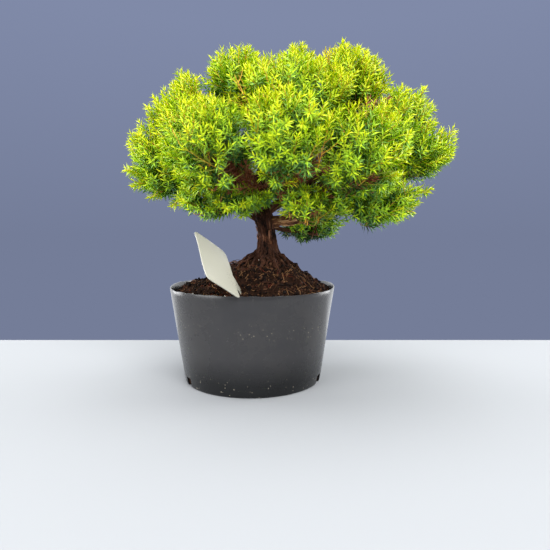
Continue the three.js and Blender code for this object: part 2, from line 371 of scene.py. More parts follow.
def group_of(name: str, usual: dict[str, float], outputs: list[str]) -> tuple[Wiring, object, Node]:
    """Starts a shared shader node group that is laid on a vector.

    Args:
        name: The group's name.
        usual: The usual value of each input that is a number.
        outputs: The names of its outputs, all of them numbers.

    Returns:
        The group's wiring, its inputs and its end node.
    """
    tree = bpy.data.node_groups.new(name, "ShaderNodeTree")
    tree.interface.new_socket("Vector", in_out="INPUT", socket_type="NodeSocketVector")
    for label, value in usual.items():
        tree.interface.new_socket(label, in_out="INPUT", socket_type="NodeSocketFloat").default_value = value
    for label in outputs:
        tree.interface.new_socket(label, in_out="OUTPUT", socket_type="NodeSocketFloat")
    return Wiring(tree), tree.nodes.new("NodeGroupInput").outputs, tree.nodes.new("NodeGroupOutput")


def mottle_group() -> bpy.types.NodeTree:
    """Uneven patches: a noise at one size broken up by a finer one.

    Returns:
        The group, which gives a mask and a height.
    """
    wiring, entry, leave = group_of("mottle", {"Scale": 40.0, "Contrast": 0.3}, ["Mask", "Height"])
    place, scale = entry["Vector"], entry["Scale"]
    coarse = wiring.node("TexNoise", {"Vector": place, "Scale": scale, "Detail": 4.0}).outputs[0]
    fine_scale = wiring.times(scale, 5.0)
    fine = wiring.node("TexNoise", {"Vector": place, "Scale": fine_scale, "Detail": 3.0}).outputs[0]
    mixed = wiring.plus(wiring.times(coarse, 0.65), wiring.times(fine, 0.35))
    half = wiring.times(entry["Contrast"], 0.5)
    mask = wiring.remap(mixed, wiring.math("SUBTRACT", 0.5, half), wiring.plus(0.5, half))
    wiring.feed(leave, {"Mask": mask, "Height": mixed})
    return wiring.tree


def specks_group() -> bpy.types.NodeTree:
    """Scattered specks of dirt: rounded spots in some of the cells of a pattern.

    Returns:
        The group, which gives a mask.
    """
    wiring, entry, leave = group_of("specks", {"Scale": 400.0, "Size": 0.25, "Amount": 0.4}, ["Mask"])
    cells = wiring.node("TexVoronoi", {"Vector": entry["Vector"], "Scale": entry["Scale"]}).outputs
    spot = wiring.math("LESS_THAN", cells["Distance"], entry["Size"])
    pick_of_cell = wiring.node("SeparateColor", {0: cells["Color"]}).outputs[0]
    chosen = wiring.math("LESS_THAN", pick_of_cell, entry["Amount"])
    wiring.feed(leave, {"Mask": wiring.times(spot, chosen)})
    return wiring.tree


def shared(name: str) -> bpy.types.NodeTree:
    """A shared group by name, made the first time it is asked for."""
    makers = {"mottle": mottle_group, "specks": specks_group}
    return bpy.data.node_groups.get(name) or makers[name]()

def new_material(name: str, colour: Colour, roughness: float,
                 gloss: float = 0.5) -> tuple[Material, Wiring, Node]:
    """Starts a material from a plain colour and roughness.

    Args:
        name: The material's name.
        colour: Its linear base colour.
        roughness: Its roughness.
        gloss: How strongly it mirrors, 0.5 for plastic.

    Returns:
        The material, its wiring and its shader node.
    """
    material = bpy.data.materials.new(name)
    material.use_nodes = True
    shader = material.node_tree.nodes["Principled BSDF"]
    wiring = Wiring(material.node_tree)
    wiring.feed(shader, {"Base Color": (*colour, 1.0), "Roughness": roughness, "Specular IOR Level": gloss})
    material.diffuse_color = (*colour, 1.0)
    return material, wiring, shader


@dataclass(frozen=True)
class PlainFinish:
    """One even colour, for needles, twigs and crumbs, whose variety is dealt out shape by shape."""

    name: str
    colour: Colour
    roughness: float = 0.6
    gloss: float = 0.5

    def material(self) -> Material:
        """Finds the material, or builds it the first time it is asked for."""
        found = bpy.data.materials.get(self.name)
        return found or new_material(self.name, self.colour, self.roughness, self.gloss)[0]


def plain_set(name: str, tones: tuple[Colour, ...], roughness: float, gloss: float = 0.5) -> list[Material]:
    """Builds numbered plain materials, one for each tone."""
    return [PlainFinish(f"{name}_{i}", tone, roughness, gloss).material() for i, tone in enumerate(tones)]


@dataclass(frozen=True)
class BarkFinish:
    """Fibrous bark in long streaks that follow the limb, from dark cracks, darkened partly by painted shade,
    to bright peeled strips.
    """

    name: str
    crack_and_shade: Colour
    fibre: Colour
    peeled: Colour
    peeling: float = 0.55
    fine_weave: Place = (15.0, 75.0, 1.0)
    wide_weave: Place = (4.0, 55.0, 1.0)

    def material(self) -> Material:
        """Builds the material on the limb's own pattern places.

        Returns:
            The material.
        """
        material, wiring, shader = new_material(self.name, self.fibre, 0.9, 0.15)
        place = wiring.node("UVMap", uv_map="UVMap").outputs[0]
        long_way = wiring.node("Mapping", {"Vector": place, "Scale": self.fine_weave}).outputs[0]
        across = wiring.node("Mapping", {"Vector": place, "Scale": self.wide_weave}).outputs[0]
        fibres = wiring.effect("mottle", Vector=long_way, Scale=1.0, Contrast=0.22).outputs
        patches = wiring.effect("mottle", Vector=across, Scale=1.0, Contrast=0.2).outputs
        # The crack colour fills the low parts of the relief: partly the bark's own darker fissures, partly
        # painted shade in them.
        body = wiring.blend(fibres["Mask"], self.crack_and_shade, self.fibre)
        bright = wiring.remap(patches["Height"], self.peeling, self.peeling + 0.12, 0.0, 0.85)
        shine = wiring.times(wiring.times(bright, fibres["Height"]), 1.5)
        wiring.feed(shader, {"Base Color": wiring.blend(shine, body, self.peeled)})
        wiring.relief(shader, fibres["Height"], 0.6, 0.6 * MM)
        return material


@dataclass(frozen=True)
class CompostFinish:
    """Moist dark compost, mottled from near black to red-brown."""

    name: str
    dark: Colour
    middle: Colour
    light: Colour

    def material(self) -> Material:
        """Builds the material from grains, wider patches and a few light flecks.

        Returns:
            The material.
        """
        material, wiring, shader = new_material(self.name, self.middle, 0.92, 0.05)
        place = wiring.node("TexCoord").outputs["Object"]
        grains = wiring.effect("mottle", Vector=place, Scale=260.0, Contrast=0.35).outputs
        patches = wiring.effect("mottle", Vector=place, Scale=60.0, Contrast=0.4).outputs
        flecks = wiring.effect("specks", Vector=place, Scale=520.0, Size=0.3, Amount=0.16).outputs
        body = wiring.blend(grains["Mask"], self.dark, self.middle)
        body = wiring.blend(wiring.times(patches["Mask"], 0.45), body, self.light)
        body = wiring.blend(wiring.times(flecks["Mask"], 0.5), body, self.light)
        wiring.feed(shader, {"Base Color": body})
        wiring.relief(shader, grains["Height"], 0.8, 0.8 * MM)
        return material


@dataclass(frozen=True)
class PotFinish:
    """Thin black moulded plastic: satin, scuffed and splashed, flecked with dirt towards the foot and
    darkened there by painted shade.
    """

    name: str
    plastic: Colour
    dust: Colour
    painted_shade: Colour
    dirt_top: float = 20 * MM
    painted_shade_low: float = 12 * MM
    painted_shade_top: float = 38 * MM
    tide: tuple[float, float, float, float] = (52 * MM, 60 * MM, 62 * MM, 74 * MM)

    def material(self) -> Material:
        """Builds the material by height: a foot darkened by painted shade and flecked with crumbs of dirt,
        and a broken tide line of splashes above it.

        Returns:
            The material.
        """
        material, wiring, shader = new_material(self.name, self.plastic, 0.4)
        place = wiring.node("TexCoord").outputs["Object"]
        height = wiring.node("SeparateXYZ", {0: place}).outputs[2]
        low = wiring.remap(height, 0.0, self.dirt_top, 1.0, 0.0)
        haze = wiring.effect("mottle", Vector=place, Scale=28.0, Contrast=0.5).outputs["Height"]
        crumbs = wiring.effect("specks", Vector=place, Scale=460.0, Size=0.25, Amount=0.17).outputs[0]
        splashes = wiring.effect("specks", Vector=place, Scale=480.0, Size=0.24, Amount=0.14).outputs[0]
        colour = wiring.blend(wiring.times(haze, 0.05), self.plastic, self.dust)
        # Painted shade: the plastic darkens to near black from the foot up.
        painted_shade = wiring.remap(height, self.painted_shade_low, self.painted_shade_top, 0.95, 0.0)
        colour = wiring.blend(painted_shade, colour, self.painted_shade)
        rising = wiring.remap(height, self.tide[0], self.tide[1])
        falling = wiring.remap(height, self.tide[2], self.tide[3], 1.0, 0.0)
        tide = wiring.times(wiring.times(rising, falling), wiring.remap(haze, 0.45, 0.52))
        colour = wiring.blend(wiring.times(wiring.times(crumbs, low), 0.7), colour, self.dust)
        colour = wiring.blend(wiring.times(wiring.times(splashes, tide), 0.55), colour, self.dust)
        worn = wiring.plus(wiring.times(haze, 0.10), 0.22)
        wiring.feed(shader, {"Base Color": colour, "Roughness": worn})
        return material


@dataclass(frozen=True)
class LabelFinish:
    """Blank off-white label plastic with soil caught near its stem."""

    name: str
    plastic: Colour
    soil: Colour
    stem: Place
    spread: float = 16 * MM
    shaded: float = 0.75

    def material(self) -> Material:
        """Builds the material, with crumbs of soil within reach of the stem.

        Returns:
            The material.
        """
        material, wiring, shader = new_material(self.name, self.plastic, 0.42)
        place = wiring.node("TexCoord").outputs["Object"]
        apart = wiring.node("VectorMath", {0: place, 1: self.stem}, operation="DISTANCE").outputs["Value"]
        near = wiring.remap(apart, 0.0, self.spread, 1.0, 0.0)
        patches = wiring.effect("mottle", Vector=place, Scale=30.0, Contrast=0.5).outputs
        tint = wiring.times(patches["Mask"], 0.12)
        colour = wiring.blend(tint, self.plastic, tuple(self.shaded * part for part in self.plastic))
        crumbs = wiring.effect("specks", Vector=place, Scale=520.0, Size=0.3, Amount=0.35).outputs[0]
        colour = wiring.blend(wiring.times(crumbs, near), colour, self.soil)
        wiring.feed(shader, {"Base Color": colour, "Roughness": wiring.plus(tint, 0.36)})
        return material


class Tone(Enum):
    """Foliage tones, from the darkest, which also serve as painted shade inside and under the crown, to the
    golden tips: the leaf's back and its upper face.
    """

    SHADE = (srgb(30, 66, 8), srgb(92, 140, 76))
    DEEP = (srgb(66, 118, 4), srgb(132, 178, 72))
    GREEN = (srgb(128, 173, 0), srgb(162, 202, 42))
    FRESH = (srgb(168, 198, 0), srgb(190, 213, 30))
    LIME = (srgb(201, 211, 0), srgb(210, 219, 28))
    GOLD = (srgb(224, 204, 10), srgb(226, 218, 50))
    DEAD = (srgb(122, 68, 44), srgb(144, 86, 56))

    @property
    def slot(self) -> int:
        """The number of this tone's first material slot."""
        return 2 * list(Tone).index(self)

    @staticmethod
    def materials() -> list[Material]:
        """Builds both materials of every tone, in slot order."""
        named = [(f"needle_{tone.name.lower()}_{part}", colour) for tone in Tone
                 for part, colour in zip(("back", "face"), tone.value)]
        return [PlainFinish(name, colour, 0.5, 0.22).material() for name, colour in named]


class Wood(Enum):
    """Twig colours, from old brown wood to this year's golden shoots."""

    OLD = srgb(96, 64, 44)
    BROWN = srgb(134, 86, 50)
    GREEN = srgb(150, 160, 44)
    GOLDEN = srgb(214, 164, 44)

    @property
    def slot(self) -> int:
        """The number of this colour's material slot."""
        return list(Wood).index(self)

    @staticmethod
    def materials() -> list[Material]:
        """Builds a material for each colour, in slot order."""
        return [PlainFinish(f"twig_{wood.name.lower()}", wood.value, 0.7).material() for wood in Wood]


def dress(piece: Piece, *materials: Material) -> None:
    """Gives a piece its materials, in slot order."""
    for material in materials:
        piece.data.materials.append(material)


def settle(piece: Piece, slot: str, *nodes: str) -> None:
    """Parents a finished piece to the root, hides the CAD nodes that it replaces, and reports it.

    Args:
        piece: The finished piece.
        slot: The record's material slot that it takes its finish from; not used.
        nodes: The CAD nodes that it replaces.
    """
    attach(piece, "root")
    if nodes:
        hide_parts(*nodes)
    log.info("%s: %d faces", piece.name, len(piece.data.polygons))


def corners_of(piece: Piece) -> Array:
    """The places of a mesh's vertices.

    Args:
        piece: The mesh piece.

    Returns:
        One row for each vertex.
    """
    places = np.empty(3 * len(piece.data.vertices), dtype=np.float32)
    piece.data.vertices.foreach_get("co", places)
    return places.reshape(-1, 3).astype(float)


def move_corners(piece: Piece, places: Array) -> None:
    """Puts a mesh's vertices in new places."""
    piece.data.vertices.foreach_set("co", np.ascontiguousarray(places, dtype=np.float32).ravel())
    piece.data.update()


def apply_modifier(piece: Piece, kind: str, **settings: object) -> None:
    """Adds a modifier to a piece and applies it.

    Args:
        piece: The piece to change.
        kind: The modifier's type.
        settings: Its properties.
    """
    modifier = piece.modifiers.new(kind.lower(), kind)
    for name, value in settings.items():
        setattr(modifier, name, value)
    pick(piece)
    bpy.ops.object.modifier_apply(modifier=modifier.name)


def select_where(piece: Piece, kind: str, test: Callable[[Vector, Vector], bool]) -> None:
    """In edit mode, selects only the faces or edges whose centre and direction pass a test.

    Args:
        piece: The mesh piece being edited.
        kind: FACE or EDGE.
        test: Called with the centre and, for a face, its normal, or, for an edge, its direction.
    """
    bpy.ops.mesh.select_mode(type=kind)
    bpy.ops.mesh.select_all(action="DESELECT")
    bpy.ops.object.mode_set(mode="OBJECT")
    mesh = piece.data
    if kind == "FACE":
        for face in mesh.polygons:
            face.select = bool(test(face.center, face.normal))
    else:
        for edge in mesh.edges:
            start, end = (mesh.vertices[i].co for i in edge.vertices)
            edge.select = bool(test((start + end) / 2, (end - start).normalized()))
    bpy.ops.object.mode_set(mode="EDIT")


# ---- Pot, compost and label ----------------------------------------------------------------------


@dataclass
class Pot:
    """The thin-walled pot: round at the foot, oval at its wavy, cut-down rim, with notches in the foot."""

    height: float = 100.4 * MM
    base: float = 73.5 * MM
    rim_x: float = 87.3 * MM
    rim_y: float = 79.5 * MM
    squareness: float = 0.5
    wall: float = 1.2 * MM
    floor: float = 1.6 * MM
    rim_wave: float = 1.8 * MM
    dent: float = 0.45 * MM
    foot_round: float = 1.8 * MM
    sides: int = 180
    row: float = 5 * MM
    notch_angles: tuple[float, ...] = (-150.0, -21.0, 90.0)
    notch_width: float = 11 * MM
    notch_height: float = 9.5 * MM
    notch_depth: float = 18 * MM
    lip: float = 0.02
    rim_bevel: float = 0.3 * MM
    ragged: float = 0.25 * MM

    def wall_radius(self, angle: Array, height: Array, inset: float) -> Array:
        """The wall's radius.

        Args:
            angle: The direction round the pot.
            height: The height above the foot.
            inset: How far inside the outer face to measure.

        Returns:
            The radius for each angle and height.
        """
        rise = np.clip(height / self.height, 0, 1)
        power = 2 + self.squareness * rise
        x = np.abs(np.cos(angle)) / (self.base + (self.rim_x - self.base) * rise - inset)
        y = np.abs(np.sin(angle)) / (self.base + (self.rim_y - self.base) * rise - inset)
        return (x**power + y**power) ** (-1 / power)

    def rim_lift(self, angle: Array, height: Array) -> Array:
        """How far the rim's wave lifts a point of the wall, fading towards the foot."""
        rise = np.clip(height / self.height, 0, 1)
        return self.rim_wave * rise**4 * (np.cos(2 * angle) + 0.25 * np.sin(3 * angle))

    def place(self, places: Array) -> Array:
        """Fits a straight cup of radius one to the pot's true form, with its small dents and uneven cut rim.

        Args:
            places: The cup's corners.

        Returns:
            The pot's corners.
        """
        angle = np.arctan2(places[:, 1], places[:, 0])
        height = places[:, 2]
        share = np.hypot(places[:, 0], places[:, 1])
        reach = self.wall_radius(angle, height, np.where(share < 0.99, self.wall, 0))
        round_it = np.stack([np.cos(angle) * 0.08, np.sin(angle) * 0.08, height], 1)
        rise = np.clip(height / self.height, 0, 1)
        reach = reach + self.dent * ripples(round_it, (45, 45, 30), 3) * np.sqrt(rise) * (share > 0.5)
        ragged = self.ragged * ripples(round_it, (400, 400, 1), 5) * (rise > 0.99)
        lift = self.rim_lift(angle, height) + ragged
        return np.stack([reach * np.cos(angle), reach * np.sin(angle), height + lift], 1)

    def build(self) -> None:
        """Models the pot from a cylinder: hollowed, ringed, shaped, bevelled and notched."""
        deselect_all()
        tall = self.height
        middle = (0, 0, tall / 2)
        bpy.ops.mesh.primitive_cylinder_add(vertices=self.sides, radius=1, depth=tall, location=middle)
        pot = newest("pot_shell")
        bpy.ops.object.transform_apply(location=True)
        bpy.ops.object.mode_set(mode="EDIT")
        select_where(pot, "FACE", lambda centre, normal: normal.z > 0.9)
        bpy.ops.mesh.inset(thickness=self.lip)
        sink = {"value": (0, 0, self.floor - tall)}
        bpy.ops.mesh.extrude_region_move(TRANSFORM_OT_translate=sink)
        for ring in np.arange(self.row, tall - self.row / 2, self.row):
            bpy.ops.mesh.select_all(action="SELECT")
            bpy.ops.mesh.bisect(plane_co=(0, 0, ring), plane_no=(0, 0, 1))
        bpy.ops.object.mode_set(mode="OBJECT")
        move_corners(pot, self.place(corners_of(pot)))
        bpy.ops.object.mode_set(mode="EDIT")
        select_where(pot, "EDGE", lambda centre, way: centre.z < 0.1 * MM and abs(way.z) < 0.1)
        bpy.ops.mesh.bevel(offset=self.foot_round, segments=4)
        select_where(pot, "EDGE", self.on_rim)
        bpy.ops.mesh.bevel(offset=self.rim_bevel, segments=2)
        bpy.ops.object.mode_set(mode="OBJECT")
        for angle in self.notch_angles:
            self.cut_notch(pot, angle)
        pick(pot)
        bpy.ops.object.shade_smooth_by_angle(angle=math.radians(38))
        finish = PotFinish("black_plastic", srgb(33, 34, 39), srgb(186, 176, 156), srgb(5, 6, 7))
        dress(pot, finish.material())
        settle(pot, "pot", "pot")

    def on_rim(self, centre: Vector, way: Vector) -> bool:
        """Whether an edge is one of the two that run round the rim.

        Args:
            centre: The edge's middle.
            way: Its direction.

        Returns:
            True on the rim.
        """
        out = Vector((centre.x, centre.y, 0)).normalized()
        high = centre.z > self.height - 3 * self.rim_wave
        return high and abs(way.z) < 0.3 and abs(out.dot(way)) < 0.6

    def cut_notch(self, pot: Piece, angle: float) -> None:
        """Cuts one drainage notch through the foot.

        Args:
            pot: The pot.
            angle: Where the notch is, in degrees.
        """
        deselect_all()
        x, y, _ = compass(angle) * self.base
        bpy.ops.mesh.primitive_cube_add(size=1, location=(x, y, 0), rotation=(0, 0, math.radians(angle)))
        cutter = newest("notch")
        cutter.scale = (self.notch_depth, self.notch_width, 2 * self.notch_height)
        bpy.ops.object.transform_apply(location=True, rotation=True, scale=True)
        apply_modifier(pot, "BOOLEAN", operation="DIFFERENCE", object=cutter, solver="EXACT")
        bpy.data.objects.remove(cutter, do_unlink=True)


@dataclass
class Compost:
    """The mound of compost, with the crumbs, chips, root hairs and white grit that lie on it."""

    pot: Pot
    edge: float = 93.5 * MM
    ground: float = 129 * MM
    foot_x: float = 15 * MM
    foot_radius: float = 20 * MM
    hump: float = 1.6 * MM
    roughness: float = 1.1 * MM
    sides: int = 260
    rings: int = 76
    crumbs: int = 4200
    fibres: int = 620
    brink: float = 0.2
    clearance: float = 0.45 * MM
    white_grains: int = 16
    chips: float = 0.22
    red_fibres: int = 60
    standing_fibres: int = 14

    def place(self, places: Array) -> Array:
        """Fits a straight plug of radius one to the inside of the pot and heaps up its top.

        Args:
            places: The plug's corners.

        Returns:
            The mound's corners.
        """
        angle = np.arctan2(places[:, 1], places[:, 0])
        height = places[:, 2]
        share = np.hypot(places[:, 0], places[:, 1])
        wall = self.pot.wall_radius(angle, height, self.pot.wall + self.clearance)
        top = height > self.edge - 0.1 * MM
        out = np.where(top, np.clip((share - self.brink) / (1 - self.brink), 0, 1), share)
        slope = np.minimum(share / self.brink, 1) * self.foot_radius * (1 - out) + wall * out
        reach = np.where(top, slope, share * wall)
        bumps = np.sin(4 * angle + 9 * out) + np.cos(7 * angle - 5 * out)
        rise = (self.ground - self.edge) * (1 - out) ** 1.08 + self.hump * bumps * np.sin(math.pi * out)
        rise = rise + self.pot.rim_lift(angle, height) * out
        x = reach * np.cos(angle) + np.where(top, self.foot_x * (1 - out), 0)
        placed = np.stack([x, reach * np.sin(angle), height + np.where(top, rise, 0)], 1)
        crumbly = ripples(placed, (260, 260, 0), 11, 14) + 0.9 * ripples(placed, (900, 900, 0), 12, 14)
        placed[:, 2] += np.where(top, self.roughness * crumbly * np.clip((1 - out) * 12, 0, 1), 0)
        return placed

    def build(self) -> None:
        """Models the mound and everything that lies on it."""
        deselect_all()
        low = self.pot.floor + 0.4 * MM
        depth = self.edge - low
        middle = (0, 0, low + depth / 2)
        bpy.ops.mesh.primitive_cylinder_add(vertices=self.sides, radius=1, depth=depth, location=middle)
        mound = newest("compost_mound")
        bpy.ops.object.transform_apply(location=True)
        bpy.ops.object.mode_set(mode="EDIT")
        for share in (0.05, 0.35, 0.7):
            bpy.ops.mesh.select_all(action="SELECT")
            bpy.ops.mesh.bisect(plane_co=(0, 0, low + share * depth), plane_no=(0, 0, 1))
        select_where(mound, "FACE", lambda centre, normal: normal.z > 0.9)
        for _ in range(self.rings):
            bpy.ops.mesh.inset(thickness=0.97 / self.rings)
        bpy.ops.object.mode_set(mode="OBJECT")
        move_corners(mound, self.place(corners_of(mound)))
        bpy.ops.object.shade_smooth_by_angle(angle=math.radians(50))
        dress(mound, CompostFinish("compost", srgb(9, 5, 4), srgb(27, 17, 12), srgb(64, 41, 29)).material())
        self.surface = BVHTree.FromObject(mound, bpy.context.evaluated_depsgraph_get())
        settle(mound, "soil", "soil")
        self.scatter_crumbs()
        self.scatter_fibres()

    def height_at(self, x: float, y: float) -> float:
        """The height of the compost's surface at a place, or of its edge outside it."""
        hit = self.surface.ray_cast(Vector((x, y, 1.0)), Vector((0, 0, -1)))[0]
        return hit.z if hit else self.edge

    def spots(self, random: Random, count: int, reach: float = 0.97) -> Array:
        """Picks random places on the mound.

        Args:
            random: The random numbers to use.
            count: How many places to pick.
            reach: How far out they go, as a share of the way to the wall.

        Returns:
            The x and y of each.
        """
        angle = random.uniform(-math.pi, math.pi, count)
        share = np.sqrt(random.uniform(0.03, reach**2, count))
        wall = self.pot.wall_radius(angle, np.full(count, self.edge), self.pot.wall + 1 * MM)
        x = share * wall * np.cos(angle) + self.foot_x * (1 - share)
        return np.stack([x, share * wall * np.sin(angle)], 1)

    def scatter_crumbs(self) -> None:
        """Strews crumbs of compost, flat bark chips and a few grains of white grit."""
        random = np.random.default_rng(21)
        deselect_all()
        bpy.ops.mesh.primitive_ico_sphere_add(subdivisions=1, radius=1)
        grain = newest("grain")
        shape = corners_of(grain)
        faces = np.array([face.vertices[:] for face in grain.data.polygons])
        bpy.data.objects.remove(grain, do_unlink=True)
        heap = Heap()
        for index, (x, y) in enumerate(self.spots(random, self.crumbs)):
            white = index < self.white_grains
            chip = random.random() < self.chips and not white
            size = 0.85 * MM if white else min(random.lognormal(-0.25, 0.5), 2.6) * MM
            stretch = np.array([2.2, 1.1, 0.4]) if chip else random.uniform(0.6, 1.2, 3)
            rough = shape * random.uniform(0.75, 1.2, (len(shape), 1)) * stretch * size
            turned = rough @ self.random_turn(random, chip)
            sunk = self.height_at(x, y) + 0.35 * size * (1 if chip else 1.2)
            tone = 4 if white else int(random.choice(4, p=[0.36, 0.34, 0.2, 0.1]))
            heap.add(turned + [x, y, sunk], faces, tone)
        piece = heap.build("compost_crumbs")
        tones = (srgb(17, 10, 8), srgb(32, 20, 15), srgb(56, 33, 23), srgb(84, 57, 40), srgb(214, 208, 196))
        dress(piece, *plain_set("crumb", tones, 0.9, 0.1))
        settle(piece, "soil")

    @staticmethod
    def random_turn(random: Random, flat: bool) -> Array:
        """A random rotation.

        Args:
            random: The random numbers to use.
            flat: Whether it is kept near level, for a flat chip.

        Returns:
            A matrix of three rows.
        """
        axes = np.linalg.qr(random.normal(size=(3, 3)))[0]
        axes = axes * np.sign(np.linalg.det(axes))
        if not flat:
            return axes
        spin, tilt = random.uniform(0, 2 * math.pi), random.normal(0, 0.35)
        across, over = math.cos(spin), math.sin(spin)
        level, steep = math.cos(tilt), math.sin(tilt)
        turn = np.array([[across, over, 0], [-over, across, 0], [0, 0, 1]])
        lean = np.array([[1, 0, 0], [0, level, steep], [0, -steep, level]])
        return lean @ turn

    def on_left(self, random: Random, turn: Range, reach: Range) -> Array:
        """A random x and y left of the trunk, within ranges of degrees and of millimetres."""
        angle = random.uniform(math.radians(turn[0]), math.radians(turn[1]))
        return self.foot_x + np.array([math.cos(angle), math.sin(angle)]) * random.uniform(*reach) * MM

    def scatter_fibres(self) -> None:
        """Strews root hairs and coir fibres, a reddish tangle on the left, and a few that stand clear."""
        random = np.random.default_rng(22)
        heap = Heap()
        steps = 8
        for index, (x, y) in enumerate(self.spots(random, self.fibres, 0.93)):
            red = index < self.red_fibres
            standing = not red and index < self.red_fibres + self.standing_fibres
            length, loft = random.uniform(5, 19) * MM, 0.5 * MM
            if red:
                x, y = self.on_left(random, (150, 215), (26, 78))
            elif standing:
                x, y = self.on_left(random, (165, 205), (16, 30))
                length, loft = random.uniform(18, 30) * MM, random.uniform(2, 5) * MM
            heading = math.pi + random.normal(0, 0.3) if standing else random.uniform(0, 2 * math.pi)
            bend = random.normal(0, 0.28, steps).cumsum() * 0.5
            ways = np.stack([np.cos(heading + bend), np.sin(heading + bend)], 1) * length / steps
            flat = np.array([x, y]) + ways.cumsum(0)
            flat = flat[np.hypot(flat[:, 0] / self.pot.rim_x, flat[:, 1] / self.pot.rim_y) < 0.95]
            if len(flat) < 4:
                continue
            arch = loft * np.sin(np.linspace(0.15, math.pi - 0.1, len(flat))) + 0.25 * MM
            path = np.array([[*spot, self.height_at(*spot) + up] for spot, up in zip(flat, arch)])
            thick = random.uniform(0.14, 0.34) * MM
            tone = int(random.choice(3, p=[0.2, 0.2, 0.6] if red else [0.45, 0.4, 0.15]))
            points, triangles, _ = tube(path, np.linspace(thick, thick * 0.5, len(path)), 4)
            heap.add(points, triangles, tone)
        piece = heap.build("root_hairs", smooth=True)
        tones = (srgb(74, 47, 31), srgb(140, 102, 68), srgb(104, 44, 30))
        dress(piece, *plain_set("fibre", tones, 0.85, 0.15))
        settle(piece, "soil")


@dataclass
class Label:
    """A blank T-shaped plant label: a thin bent flag on a pointed stem pushed into the compost."""

    corner: Place = (-53.4 * MM, -58.6 * MM, 160.6 * MM)
    across: Place = (0.601, 0.618, -0.507)
    along: Place = (0.288, -0.759, -0.584)
    width: float = 44 * MM
    length: float = 70 * MM
    thickness: float = 1.0 * MM
    stem_at: float = 44 * MM
    stem_width: float = 12 * MM
    dip: float = 0.7
    stem_length: float = 36 * MM
    bow: float = 1.0 * MM
    grid: tuple[int, int] = (22, 35)
    stem_steps: int = 7
    round_by: float = 6 * MM

    def build(self) -> None:
        """Models the label flat, then thickens, bends and stands it in its place."""
        deselect_all()
        columns, rows = self.grid
        bpy.ops.mesh.primitive_grid_add(x_subdivisions=columns, y_subdivisions=rows, size=1)
        label = newest("plant_label")
        flat = corners_of(label)
        move_corners(label, (flat + [0.5, 0.5, 0]) * [self.width, self.length, 1])
        bpy.ops.object.mode_set(mode="EDIT")
        select_where(label, "EDGE", self.by_stem)
        for step in range(self.stem_steps):
            ahead = {"value": (self.stem_length / self.stem_steps, 0, 0)}
            bpy.ops.mesh.extrude_edges_move(TRANSFORM_OT_translate=ahead)
            narrow = 0.86 if step in (0, 1) else (0.3 if step == self.stem_steps - 1 else 1.0)
            bpy.ops.transform.resize(value=(1, narrow, 1), center_override=(0, self.stem_at, 0))
        bpy.ops.object.mode_set(mode="OBJECT")
        self.round_corners(label)
        apply_modifier(label, "SOLIDIFY", thickness=self.thickness, offset=1.0)
        rounding = {"segments": 2, "angle_limit": math.radians(50), "limit_method": "ANGLE"}
        apply_modifier(label, "BEVEL", width=0.25 * MM, **rounding)
        move_corners(label, self.stand(corners_of(label)))
        bpy.ops.object.shade_smooth_by_angle(angle=math.radians(40))
        stem = self.stand(np.array([[self.width, self.stem_at, 0]]))[0]
        finish = LabelFinish("label_plastic", srgb(179, 177, 163), srgb(40, 28, 22), tuple(stem))
        dress(label, finish.material())
        settle(label, "label", "label")

    def by_stem(self, centre: Vector, way: Vector) -> bool:
        """Whether an edge of the flat flag is where the stem grows out."""
        near = self.stem_width / 2 + self.length / self.grid[1] / 2
        return centre.x > self.width - 0.1 * MM and abs(centre.y - self.stem_at) < near

    def round_corners(self, label: Piece) -> None:
        """Draws the flag's four corners in to a small radius.

        Args:
            label: The flat label.
        """
        places = corners_of(label)
        middle = np.array([self.width, self.length]) / 2
        radius = self.round_by
        on_flag = places[:, 0] <= self.width + 0.01 * MM
        past = np.maximum(np.abs(places[:, :2] - middle) - (middle - radius), 0)
        reach = np.hypot(past[:, 0], past[:, 1])
        cut = on_flag & (past.min(1) > 0) & (reach > radius)
        pull = np.where(cut, radius / np.maximum(reach, 1e-9), 1.0)
        inner = np.sign(places[:, :2] - middle) * (middle - radius + past * pull[:, None])
        corner = (pull < 1)[:, None]
        places[:, :2] = np.where(corner, middle + inner, places[:, :2])
        move_corners(label, places)

    def stand(self, flat: Array) -> Array:
        """Bends points of the flat label to a shallow S and stands them in the pot.

        Args:
            flat: The points, one row each.

        Returns:
            Their places in the pot.
        """
        across = unit(np.array(self.across))
        normal = unit(np.cross(across, np.array(self.along)))
        along = np.cross(normal, across)
        over = np.clip(flat[:, 1] / self.length, -0.1, 1.1)
        side = np.clip(flat[:, 0] / self.width, 0, 1)
        bend = -self.bow * np.sin(2 * math.pi * over) * 0.55 - self.bow * 0.35 * np.sin(math.pi * side)
        past = np.maximum(flat[:, 0] - self.width, 0)
        height = flat[:, 2] + bend * (1 - np.clip(past / (8 * MM), 0, 1))
        on_plane = flat[:, :1] * across + flat[:, 1:2] * along
        return np.array(self.corner) + on_plane + height[:, None] * normal - UP * (self.dip * past)[:, None]


# ---- Trunk, roots and boughs ---------------------------------------------------------------------


def furrows(turn: Array, along: Array, coarse: float, seed: int) -> Array:
    """Bark relief for a limb: rounded plates parted by sharp cracks that run along it.

    Args:
        turn: The angle round the limb at every corner, as (rings, sides).
        along: The distance along it at every corner, in metres.
        coarse: How many plates go round.
        seed: Picks the pattern.

    Returns:
        The relief at every corner, as a share of its depth.
    """
    twist = turn + 9 * along
    places = np.stack([np.cos(twist).ravel(), np.sin(twist).ravel(), along.ravel()], 1)
    plates = np.abs(ripples(places, (coarse, coarse, 150), seed))
    fibres = np.abs(ripples(places, (3.2 * coarse, 3.2 * coarse, 420), seed + 1))
    lumps = ripples(places, (2.2, 2.2, 90), seed + 2)
    relief = np.minimum(plates, 1.2) - 0.7 + 0.4 * (np.minimum(fibres, 1.2) - 0.7) + 0.6 * lumps
    return relief.reshape(turn.shape)


